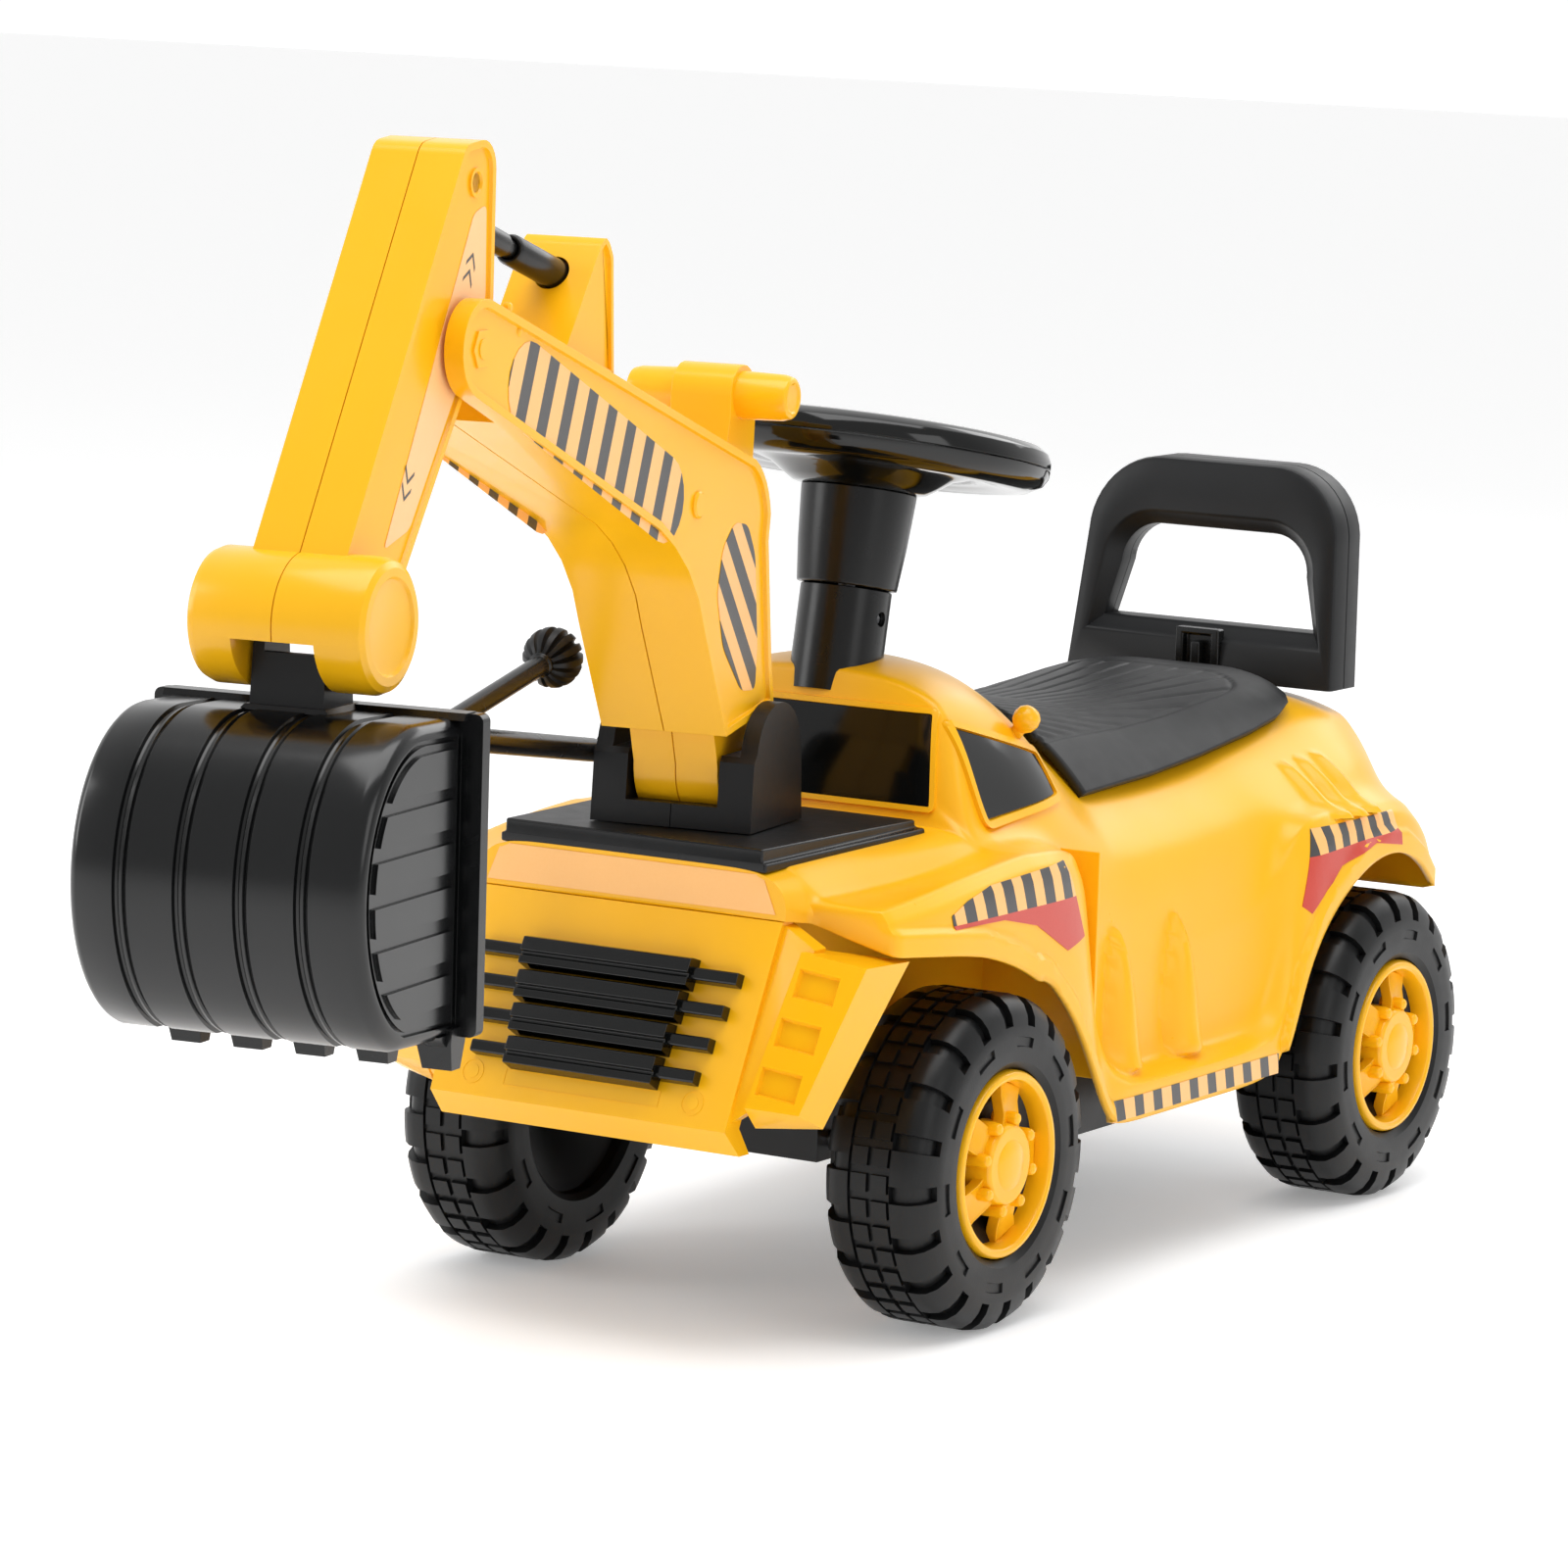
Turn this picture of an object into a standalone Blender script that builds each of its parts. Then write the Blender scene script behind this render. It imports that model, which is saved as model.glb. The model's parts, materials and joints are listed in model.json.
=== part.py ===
"""Ride-on toy excavator: the design of every piece, at its real size.

World frame: metres, +Z up, the toy faces -Y, its left hand is -X, and the origin is on the floor
under the middle of the whole toy's box. Sizes below are in millimetres. They use two drawing frames:
  toy frame  y measured from the middle of the wheelbase side of the drawing (TOY_Y shifts it)
  arm frame  y measured from the swivel axis, turned with the arm by ARM_YAW as the toy is parked
"""

import math

import bmesh
import bpy
from mathutils import Matrix, Vector

# ---- driving dimensions (mm, degrees) ------------------------------------------------------------
MM = 0.001
GAP = 0.4  # air left between neighbours that touch

TOY_Y = 236  # shift that puts the origin under the middle of the overall length
SWIVEL_Y = -260  # swivel axis of the digging arm, toy frame
ARM_YAW = 8.6  # the arm is parked swung a little to one side

WHEEL_R = 75
TYRE_OUT, TYRE_IN = 140, 84.3
RIM_R = 42
WHEEL_STEPS = 24  # facets round a wheel; a flat one rests on the floor
FRONT_AXLE_Y, REAR_AXLE_Y = -213.3, 164.5
AXLE_R = 4

WALL = 3  # blow-moulded and injection-moulded skins

STEER_TOP = Vector((0, -124.2, 375.5))  # centre of the steering wheel
STEER_LEAN = 11  # degrees the column leans back
YOKE_Y = -175  # upright axis that the front truck turns on

BOOM_HALF, STICK_HALF = 30, 20.5
BOOM_PIN = (3, 246)  # arm frame (y, z)
STICK_PIN = (-287, 447)
BUCKET_PIN = (-382, 346)
BOSS_R, BOSS_HALF = 27, 38.5
BUCKET_HALF, FLANGE_HALF = 63, 72
LINK_X, LEVER_X = -44.5, -55.2
PLINTH_TOP = 219

YELLOW, BLACK, GLOSS, STEEL = "yellow", "black", "gloss", "steel"
FINISHES = {
    YELLOW: ((0.93, 0.50, 0.02), 0.32, 0.0),
    BLACK: ((0.022, 0.022, 0.024), 0.42, 0.0),
    GLOSS: ((0.008, 0.008, 0.009), 0.12, 0.0),
    STEEL: ((0.55, 0.55, 0.56), 0.3, 1.0),
}


# ---- helpers -------------------------------------------------------------------------------------
def clear_scene():
    for obj in list(bpy.data.objects):
        bpy.data.objects.remove(obj)


def make_empty(name, location, parent=None, yaw=0.0):
    empty = bpy.data.objects.new(name, None)
    empty.location = Vector(location) * MM
    empty.rotation_euler = (0, 0, math.radians(yaw))
    empty.parent = parent
    bpy.context.collection.objects.link(empty)
    return empty


def make_material(name, finish):
    colour, roughness, metallic = FINISHES[finish]
    material = bpy.data.materials.new(name)
    material.use_nodes = True
    shader = material.node_tree.nodes["Principled BSDF"]
    shader.inputs["Base Color"].default_value = (*colour, 1)
    shader.inputs["Roughness"].default_value = roughness
    shader.inputs["Metallic"].default_value = metallic
    material.diffuse_color = (*colour, 1)
    return material


def link_mesh(name, bm, frame, pivot):
    bmesh.ops.translate(bm, verts=bm.verts, vec=-Vector(pivot))
    bmesh.ops.scale(bm, verts=bm.verts, vec=(MM, MM, MM))
    bmesh.ops.recalc_face_normals(bm, faces=bm.faces)
    mesh = bpy.data.meshes.new(name)
    bm.to_mesh(mesh)
    bm.free()
    obj = bpy.data.objects.new(name, mesh)
    obj.location = Vector(pivot) * MM
    obj.parent = frame
    bpy.context.collection.objects.link(obj)
    return obj


def add_piece(name, bm, finish, frame, pivot=(0, 0, 0), smooth=True):
    """A named sub-part whose origin is its pivot; the mesh is drawn in its frame's coordinates."""
    obj = link_mesh(name, bm, frame, pivot)
    obj.data.materials.append(make_material(name, finish))
    if smooth:
        obj.data.shade_smooth()
        obj.data.set_sharp_from_angle(angle=math.radians(35))
    return obj


def add_tool(obj, bm, operation):
    """Cuts bm from the piece, or joins it to the piece."""
    count = len(obj.modifiers)
    tool = link_mesh(f"{obj.name}_tool_{count}", bm, obj.parent, (0, 0, 0))
    tool.hide_render = True
    tool.display_type = "WIRE"
    modifier = obj.modifiers.new(operation.lower(), "BOOLEAN")
    modifier.operation = operation
    modifier.object = tool
    return obj


def cut(obj, bm):
    return add_tool(obj, bm, "DIFFERENCE")


def fuse(obj, bm):
    return add_tool(obj, bm, "UNION")


def box(low, high):
    bm = bmesh.new()
    bmesh.ops.create_cube(bm, size=1)
    low, high = Vector(low), Vector(high)
    bmesh.ops.scale(bm, verts=bm.verts, vec=high - low)
    bmesh.ops.translate(bm, verts=bm.verts, vec=(low + high) / 2)
    return bm


def stack_loops(loops, closed_ends=True):
    """Skin through loops of equal length, one after the other."""
    bm = bmesh.new()
    rings = [[bm.verts.new(p) for p in loop] for loop in loops]
    for a, b in zip(rings, rings[1:]):
        for i in range(len(a)):
            j = (i + 1) % len(a)
            bm.faces.new((a[i], a[j], b[j], b[i]))
    if closed_ends:
        bm.faces.new(rings[0])
        bm.faces.new(rings[-1])
    else:
        a, b = rings[-1], rings[0]
        for i in range(len(a)):
            j = (i + 1) % len(a)
            bm.faces.new((a[i], a[j], b[j], b[i]))
    return bm


def prism(outline, x0, x1):
    """A (y, z) outline pushed from x0 to x1."""
    return stack_loops([[(x, y, z) for y, z in outline] for x in (x0, x1)])


def inset(outline, d):
    """The outline moved inwards by d."""
    area = sum(a[0] * b[1] - b[0] * a[1] for a, b in zip(outline, outline[1:] + outline[:1]))
    side = 1 if area > 0 else -1
    moved = []
    for i, point in enumerate(outline):
        before, after = Vector(outline[i - 1]), Vector(outline[(i + 1) % len(outline)])
        here = Vector(point)
        u, w = (here - before).normalized(), (after - here).normalized()
        n1, n2 = Vector((-u.y, u.x)) * side, Vector((-w.y, w.x)) * side
        middle = (n1 + n2).normalized()
        moved.append(tuple(here + middle * d / max(0.3, middle.dot(n1))))
    return moved


def tray(outline, x_open, x_shut, wall=WALL):
    """A half shell: open at x_open, with its plate at x_shut."""
    inner = inset(outline, wall)
    floor = x_shut - math.copysign(wall, x_shut - x_open)
    loops = [
        [(x_shut, y, z) for y, z in outline],
        [(x_open, y, z) for y, z in outline],
        [(x_open, y, z) for y, z in inner],
        [(floor, y, z) for y, z in inner],
    ]
    return stack_loops(loops)


def arc(cy, cz, radius, start, end, steps):
    """Points of a circle in (y, z), angles in degrees from +y towards +z."""
    turns = [math.radians(start + (end - start) * i / steps) for i in range(steps + 1)]
    return [(cy + radius * math.cos(t), cz + radius * math.sin(t)) for t in turns]


def turned(profile, steps, closed=False, phase=0.5):
    """A (radius, along) profile turned about +X; a closed profile makes a ring."""
    loops = []
    for radius, along in profile:
        turns = [2 * math.pi * (i + phase) / steps for i in range(steps)]
        loops.append([(along, radius * math.cos(t), radius * math.sin(t)) for t in turns])
    return stack_loops(loops, closed_ends=not closed)


def aim(bm, centre, direction):
    """Turns a shape made about +X so that it points along direction from centre."""
    turn = Vector((1, 0, 0)).rotation_difference(Vector(direction)).to_matrix().to_4x4()
    bmesh.ops.transform(bm, verts=bm.verts, matrix=Matrix.Translation(centre) @ turn)
    return bm


def rod(start, end, radius, steps=12):
    start, end = Vector(start), Vector(end)
    bm = turned([(radius, 0), (radius, (end - start).length)], steps)
    return aim(bm, start, end - start)


# ---- body ----------------------------------------------------------------------------------------
# Half sections of the blow-moulded body along y: (y, then seven (x, z) points from the ridge down
# over shoulder, side top, side base, fender top and side to the lower edge).
BODY_SECTIONS = (
    (-311, (0, 204), (60, 204), (76, 202), (79, 197), (80, 194), (80, 192), (80, 190)),
    (-297, (0, 205), (60, 205), (78, 203), (84, 197), (114, 195), (118, 187), (118, 178)),
    (-260, (0, 207), (60, 207), (80, 205), (86, 202), (123, 201), (128, 190), (128, 172)),
    (-213, (0, 209), (62, 209), (82, 208), (88, 206), (124, 205), (128, 190), (128, 166)),
    (-173, (0, 211), (62, 211), (80, 210), (88, 208), (123, 206), (128, 180), (128, 149)),
    (-163, (0, 280), (54, 277), (72, 262), (88, 210), (122, 205), (128, 177), (128, 143)),
    (-142, (0, 281), (54, 276), (72, 259), (89, 210), (120, 203), (128, 169), (128, 125)),
    (-120, (0, 282), (54, 275), (72, 256), (90, 210), (118, 200), (128, 160), (128, 95)),
    (-104, (0, 280), (54, 270), (73, 250), (94, 206), (112, 188), (122, 130), (128, 74)),
    (-50, (0, 258), (50, 240), (76, 215), (98, 190), (106, 150), (114, 92), (128, 73)),
    (-46, (0, 249), (48, 234), (71, 211), (98, 190), (106, 150), (113, 92), (128, 73)),
    (20, (0, 240), (50, 233), (71, 214), (100, 192), (106, 150), (113, 92), (128, 73)),
    (66, (0, 239), (50, 234), (71, 217), (102, 196), (108, 152), (115, 100), (128, 73)),
    (76, (0, 239), (50, 235), (71, 218), (103, 198), (112, 170), (122, 130), (128, 104)),
    (100, (0, 240), (50, 237), (71, 222), (104, 204), (121, 192), (128, 165), (128, 138)),
    (165, (0, 242), (50, 240), (70, 231), (98, 211), (123, 194), (128, 184), (128, 171)),
    (200, (0, 238), (50, 238), (75, 232), (96, 211), (122, 192), (128, 178), (128, 162)),
    (228, (0, 236), (48, 234), (72, 222), (88, 204), (112, 186), (124, 165), (124, 146)),
)
SEAT_FRONT, SEAT_REAR = -45, 185


def body_outline(section):
    y, half = section[0], section[1:]
    left = [(-x, y, z) for x, z in reversed(half)]
    return left + [(x, y, z) for x, z in half[1:]]


def make_body(toy):
    bm = bmesh.new()
    rings = [[bm.verts.new(p) for p in body_outline(s)] for s in BODY_SECTIONS]
    for a, b in zip(rings, rings[1:]):
        for i in range(len(a) - 1):
            bm.faces.new((a[i], a[i + 1], b[i + 1], b[i]))
    bm.faces.new(rings[0])
    bm.faces.new(rings[-1])
    body = add_piece("body_shell", bm, YELLOW, toy)
    skin = body.modifiers.new("skin", "SOLIDIFY")
    skin.thickness = WALL * MM
    skin.offset = -1
    skin.use_even_offset = True
    body.modifiers.new("facets", "TRIANGULATE")
    cut(body, box((-62.6, -23, 150), (62.6, 153, 300)))
    foot, up = steering_line()
    cut(body, aim(turned([(22.5, 200), (22.5, 420)], 20), foot, up))
    cut(body, rod((0, SWIVEL_Y, 190), (0, SWIVEL_Y, 230), 6.5))
    return body


def make_bin(toy):
    low, high = Vector((-62, -21, 118)), Vector((62, 151, 221.5))
    bm = box(low, high)
    top = max(bm.faces, key=lambda f: f.calc_center_median().z)
    bmesh.ops.inset_region(bm, faces=[top], thickness=2.5)
    bmesh.ops.translate(bm, verts=top.verts, vec=(0, 0, low.z + 2.5 - high.z))
    return add_piece("storage_bin", bm, YELLOW, toy)


def make_front_panel(toy):
    face = [(-311.5, 188), (-349.8, 102), (-339, 90)]
    back = [(-336, 93), (-346, 103), (-308, 188)]
    panel = add_piece("front_panel", prism(face + back, -75, 75), YELLOW, toy)
    for side in (-1, 1):
        corners = [(74, -311, 180), (124, -309, 173), (108, -335, 106), (74, -345, 106)]
        rear = [(74, -296, 176), (122, -280, 172), (106, -318, 106), (74, -330, 106)]
        loops = [[(side * x, y, z) for x, y, z in loop] for loop in (corners, rear)]
        fuse(panel, stack_loops(loops))
    return panel


def make_grille(toy):
    lean = math.atan2(38.3, 86)  # slope of the panel face
    face_y, face_z = -332, 142
    bm = box((-43, -5, -31), (43, -0.5, 31))
    grille_turn = Matrix.Translation((0, face_y, face_z)) @ Matrix.Rotation(-lean, 4, "X")
    bmesh.ops.transform(bm, verts=bm.verts, matrix=grille_turn)
    grille = add_piece("grille", bm, BLACK, toy)
    for i in range(4):
        z = 22.5 - 15 * i
        slat = box((-67 + 3 * i, -9, z - 5), (67 - 3 * i, -3, z + 5))
        bmesh.ops.transform(slat, verts=slat.verts, matrix=grille_turn)
        fuse(grille, slat)
    return grille


def make_plinth(toy):
    def plate(front, rear, y0, y1):
        return [(-front, y0), (front, y0), (rear, y1), (-rear, y1)]

    low = plate(69, 75, -309.5, -186)
    high = plate(66.5, 70, -307, -190)
    loops = [
        [(x, y, 212.5 if y < -250 else 213.5) for x, y in low],
        [(x, y, 214) for x, y in low],
        [(x, y, 214) for x, y in high],
        [(x, y, PLINTH_TOP) for x, y in high],
    ]
    plinth = add_piece("hood_plinth", stack_loops(loops), BLACK, toy)
    cut(plinth, rod((0, SWIVEL_Y, 190), (0, SWIVEL_Y, 230), 6.5))
    return plinth


def make_glazing(toy):
    lower, upper = (-174.6, 222), (-166.2, 264)
    loops = []
    for back in (0, 1.4):
        y0, z0 = lower[0] - back, lower[1]
        y1, z1 = upper[0] - back, upper[1]
        loops.append([(-68, y0, z0), (68, y0, z0), (62, y1, z1), (-62, y1, z1)])
    add_piece("windshield", stack_loops(loops), GLOSS, toy)
    for side, name in ((-1, "side_window_left"), (1, "side_window_right")):
        loops = []
        for out in (0.5, 1.9):
            corners = [(76.2, -153, 251), (77.2, -108, 246), (87.6, -108, 222), (87, -153, 216)]
            loops.append([(side * (x + out), y, z) for x, y, z in corners])
        add_piece(name, stack_loops(loops), GLOSS, toy)
        stud = turned([(3, 0), (3, 4), (6, 6), (7.5, 10), (6, 14), (3, 16)], 12)
        aim(stud, (side * 58, -112, 273), (side * 0.35, 0, 1))
        add_piece(name.replace("side_window", "roof_stud"), stud, YELLOW, toy)


def make_saddle(toy):
    """The saddle lid: a crowned skin over the seat tub, hinged at its front edge."""
    loops = []
    for y, crown, shoulder, edge in (
        (SEAT_FRONT, (0, 256), (50, 241), (77, 216)),
        (20, (0, 247), (52, 239.5), (78, 219)),
        (66, (0, 246), (52, 240.5), (78, 223)),
        (120, (0, 248), (52, 243.5), (77, 229)),
        (165, (0, 250), (50, 247), (74, 237)),
        (SEAT_REAR, (0, 250), (44, 248), (56, 242)),
    ):
        outer = [crown, shoulder, edge]
        inner = [(edge[0] - 2, edge[1] - 3), (shoulder[0] - 1, shoulder[1] - 5), (0, crown[1] - 5.5)]
        half = outer + inner
        left = [(-x, z) for x, z in reversed(half[1:-1])]
        loops.append([(x, y, z) for x, z in half + left])
    return add_piece("saddle", stack_loops(loops), BLACK, toy, pivot=(0, SEAT_FRONT, 257))


def make_backrest(toy):
    def leaning(x, z, back):
        return (x, 204 + (z - 239) * 0.13 + back, z)

    def loop_outline(half_low, half_high, low, high, radius, steps):
        points = [(half_low, low)]
        for i in range(steps + 1):
            turn = math.radians(90 * i / steps)
            x = half_high - radius + radius * math.cos(turn)
            points.append((x, high - radius + radius * math.sin(turn)))
        return points + [(-x, z) for x, z in reversed(points)]

    outer = loop_outline(75, 70, 239.2, 347, 38, 5)
    hole = loop_outline(59, 52, 266, 313, 20, 5)
    for name, seam, face in (("backrest_front", 14.8, 0), ("backrest_rear", 15.2, 29)):
        floor = face + math.copysign(WALL, seam - face)
        loops = [
            [leaning(x, z, face) for x, z in outer],
            [leaning(x, z, seam) for x, z in outer],
            [leaning(x, z, seam) for x, z in inset(outer, WALL)],
            [leaning(x, z, floor) for x, z in inset(outer, WALL)],
            [leaning(x, z, floor) for x, z in inset(hole, -WALL)],
            [leaning(x, z, seam) for x, z in inset(hole, -WALL)],
            [leaning(x, z, seam) for x, z in hole],
            [leaning(x, z, face) for x, z in hole],
        ]
        add_piece(name, stack_loops(loops, closed_ends=False), BLACK, toy)
    add_piece("saddle_catch", box((-9, 197, 243), (9, 204.2, 262)), BLACK, toy)


def make_underframe(toy):
    plan = [(-102, -100), (102, -100), (102, 62), (50, 62), (50, 215), (-50, 215), (-50, 62), (-102, 62)]
    inner = inset(plan, WALL)
    loops = [
        [(x, y, 64) for x, y in plan],
        [(x, y, 96) for x, y in plan],
        [(x, y, 96) for x, y in inner],
        [(x, y, 64 + WALL) for x, y in inner],
    ]
    frame = add_piece("underframe", stack_loops(loops), BLACK, toy)
    fuse(frame, box((-50, -300, 104), (50, -98.5, 109)))
    fuse(frame, box((-50, -101, 80), (50, -98, 107)))
    cut(frame, rod((-60, REAR_AXLE_Y, WHEEL_R), (60, REAR_AXLE_Y, WHEEL_R), AXLE_R + GAP))
    cut(frame, rod((0, YOKE_Y, 95), (0, YOKE_Y, 120), 6.5))
    return frame


# ---- steering and wheels -------------------------------------------------------------------------
def steering_line():
    """A point on the column's axis at wheel height, and the axis pointing up."""
    lean = math.radians(STEER_LEAN)
    up = Vector((0, math.sin(lean), math.cos(lean)))
    return STEER_TOP - up * 400, up


def along_column(profile, steps, closed=False):
    foot, up = steering_line()
    shifted = [(radius, along + 400) for radius, along in profile]
    return aim(turned(shifted, steps, closed), foot, up)


def make_steering(toy):
    pivot = tuple(STEER_TOP)
    tube = [(21, -110), (21, -64), (18, -64), (18, -110)]
    lower_tube = add_piece("column_tube", along_column(tube, 20, closed=True), BLACK, toy)
    cut(lower_tube, rod((0, -139.5, 300), (30, -139.5, 300), 2.5, 8))
    sleeve = [(23, -63), (26.5, -19), (23.5, -19), (20, -63)]
    add_piece("column_sleeve", along_column(sleeve, 20, closed=True), BLACK, toy, pivot)
    upper = [(85.5, 0.2), (81, 9), (72, 11), (60, 7), (56, 0.2), (60, 0.2), (72, 8), (82.5, 0.2)]
    add_piece("wheel_upper", along_column(upper, 24, closed=True), GLOSS, toy, pivot)
    lower = [(85.5, -0.2), (81, -8), (72, -11), (56, -7), (30, -18), (8, -18), (8, -14.5), (28, -14.5)]
    lower += [(53, -4), (56, -0.2), (60, -0.2), (72, -8), (82.5, -0.2)]
    add_piece("wheel_lower", along_column(lower, 24, closed=True), GLOSS, toy, pivot)
    cap = [(7.4, -12), (24, -9.5), (24, -6), (14, -4), (7.4, -4)]
    add_piece("wheel_cap", along_column(cap, 20, closed=True), GLOSS, toy, pivot)
    steel = [(AXLE_R, -268), (AXLE_R, -9)]
    add_piece("steering_rod", along_column(steel, 10), STEEL, toy, pivot)
    screw = aim(turned([(2, -3), (2, 0), (4, 0), (4, 1.8)], 10), (21.8, -139.5, 300), (1, 0, 0))
    add_piece("column_screw", screw, STEEL, toy)


def make_front_truck(toy):
    pivot = (0, YOKE_Y, WHEEL_R)
    truck = add_piece("steering_yoke", box((-48, -226, 66), (48, -166, 92)), BLACK, toy, pivot)
    fuse(truck, rod((0, YOKE_Y, 90), (0, YOKE_Y, 103), 6))
    cut(truck, rod((-60, FRONT_AXLE_Y, WHEEL_R), (60, FRONT_AXLE_Y, WHEEL_R), AXLE_R + GAP))
    cut(truck, box((-40, -208, 60), (40, -184, 88)))
    for name, y in (("front_axle", FRONT_AXLE_Y), ("rear_axle", REAR_AXLE_Y)):
        axle = rod((-130.8, y, WHEEL_R), (130.8, y, WHEEL_R), AXLE_R)
        add_piece(name, axle, STEEL, toy, (0, y, WHEEL_R))


def make_wheel(toy, place, side, y):
    centre = (side * 112, y, WHEEL_R)

    def turned_here(profile, steps, closed=False):
        return aim(turned(profile, steps, closed), (0, y, WHEEL_R), (side, 0, 0))

    tread = WHEEL_R / math.cos(math.pi / WHEEL_STEPS)
    tyre = [
        (RIM_R + GAP, TYRE_OUT - 4), (48, TYRE_OUT), (66, TYRE_OUT), (72, 135), (tread, 126),
        (tread, 99), (72, 90), (66, TYRE_IN), (48, TYRE_IN), (RIM_R + GAP, TYRE_IN + 4),
        (47, 89), (64, 89), (70, 97), (70, 127), (64, 135.5), (47, 135.5),
    ]
    add_piece(f"tyre_{place}", turned_here(tyre, WHEEL_STEPS, True), BLACK, toy, centre)
    rim = [
        (RIM_R, 138), (RIM_R, 90), (39.5, 90), (37, 120), (15, 124), (9, 90),
        (AXLE_R + GAP, 90), (AXLE_R + GAP, 127), (16, 130), (37, 126), (39.5, 138),
    ]
    spoked = add_piece(f"rim_{place}", turned_here(rim, WHEEL_STEPS, True), YELLOW, toy, centre)
    for i in range(5):
        turn = 2 * math.pi * i / 5
        dy, dz = 26.5 * math.cos(turn), 26.5 * math.sin(turn)
        hole = rod((side * 110, y + dy, WHEEL_R + dz), (side * 136, y + dy, WHEEL_R + dz), 7.5, 6)
        cut(spoked, hole)
    hub = [(15, 131.4), (15, 136.5), (9, 139.8)]
    add_piece(f"hub_cap_{place}", turned_here(hub, 16), YELLOW, toy, centre)
    nut = [(AXLE_R + GAP, 128.4), (8, 128.4), (8, 130.6), (AXLE_R + GAP, 130.6)]
    add_piece(f"push_nut_{place}", turned_here(nut, 10, True), STEEL, toy, (0, y, WHEEL_R))


# ---- digging arm, drawn in the arm frame ---------------------------------------------------------
BOOM_OUTLINE = (
    arc(-287, 447, 20, 72, 252, 6)
    + [(-103, 355), (-80, 343), (-62, 325), (-34, 264), (15, 272), (9, 300), (3, 350)]
    + [(-6, 370), (-20, 383), (-50, 398)]
)
TONGUE = [(-29, 269), (-30, 232), (-14, 228), (14, 234), (17, 246), (12, 277)]
STICK_OUTLINE = [
    (-286, 526), (-278, 529), (-268, 527), (-262, 519), (-261, 464), (-336, 361), (-378, 366),
]
BUCKET_OUTLINE = (
    [(-364, 311), (-404, 312)] + arc(-408, 266, 46, 85, 240, 8) + [(-396, 204), (-364, 184)]
)


def make_turret(arm):
    flank = [(-27, PLINTH_TOP + GAP), (-24, 250)] + arc(3, 250, 24, 165, 15, 6)
    flank += [(28, 250), (30, PLINTH_TOP + GAP)]
    for side, name in ((-1, "turret_left"), (1, "turret_right")):
        half = add_piece(name, prism(flank, side * 0.2, side * BOSS_HALF), BLACK, arm)
        cut(half, box((-22 if side < 0 else -1, -60, 221.5), (1 if side < 0 else 22, 60, 300)))
        cut(half, rod((-60, *BOOM_PIN), (60, *BOOM_PIN), AXLE_R + GAP))
        cut(half, rod((0, 0, 200), (0, 0, 300), 6.5))
        low, high = sorted((side * 26, side * 35))
        cut(half, box((low, -19, 210), (high, 23, 236)))
        low, high = sorted((side * 18, side * (BOOM_HALF + 0.6)))
        cut(half, box((low, -60, 252.5), (high, 60, 300)))
    bolt = aim(turned([(11, 192), (11, 196), (6, 196), (6, 221)], 12), (0, 0, 0), (0, 0, 1))
    add_piece("turret_bolt", bolt, STEEL, arm)
    pin = rod((LINK_X - 4.5, *BOOM_PIN), (BOSS_HALF - 1, *BOOM_PIN), AXLE_R)
    add_piece("boom_pin", pin, STEEL, arm, (0, *BOOM_PIN))


def make_boom(arm):
    pivot = (0, *BOOM_PIN)
    for side, name in ((-1, "boom_left"), (1, "boom_right")):
        half = add_piece(name, tray(BOOM_OUTLINE, side * 0.2, side * BOOM_HALF), YELLOW, arm, pivot)
        fuse(half, prism(TONGUE, side * 0.2, side * 20))
        cut(half, rod((-60, *BOOM_PIN), (60, *BOOM_PIN), AXLE_R + GAP))
        x0, x1 = sorted((-side, side * (STICK_HALF + 1)))
        cut(half, prism(arc(-287, 447, 60, 110, 290, 8) + [(-258, 420), (-258, 500)], x0, x1))
        cut(half, rod((-26, *STICK_PIN), (26, *STICK_PIN), AXLE_R + GAP))
    handle = prism([(-11, 379), (-6, 370.5), (4, 346), (18, 352), (20, 410), (14, 420), (-4, 420)], -14, 14)
    post = add_piece("t_handle", handle, YELLOW, arm, pivot)
    cut(post, prism(inset(BOOM_OUTLINE, -GAP), -40, 40))
    fuse(post, rod((-39, 7, 408), (39, 7, 408), 10.5, 14))
    bracket = [(-190, 441), (-152, 484), (-146, 482), (-142, 476), (-138, 425.5)]
    lug = add_piece("ram_bracket", prism(bracket, -18, 18), YELLOW, arm, pivot)
    cut(lug, prism(inset(BOOM_OUTLINE, -GAP), -40, 40))
    cut(lug, box((-14.5, -186, 400), (14.5, -148, 462)))
    cut(lug, rod((0, -190, 477.5), (0, -156, 467.5), 7.6))


RAM_FOOT = Vector((0, -158, 468.1))
RAM_TOP = Vector((0, -258.5, 496.5))


def make_upper_ram(arm):
    along = (RAM_TOP - RAM_FOOT).normalized()
    outer = [(6.4, 0), (6.4, 48), (5.2, 49), (4.4, 49), (4.4, 4), (1, 4), (1, 0)]
    sleeve = aim(turned(outer, 14, closed=True), RAM_FOOT, along)
    add_piece("ram_sleeve", sleeve, BLACK, arm, RAM_FOOT)
    inner = [(3.9, 22), (3.9, 96), (2.6, 99.5)]
    add_piece("ram_rod", aim(turned(inner, 12), RAM_FOOT, along), BLACK, arm, RAM_FOOT)


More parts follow.
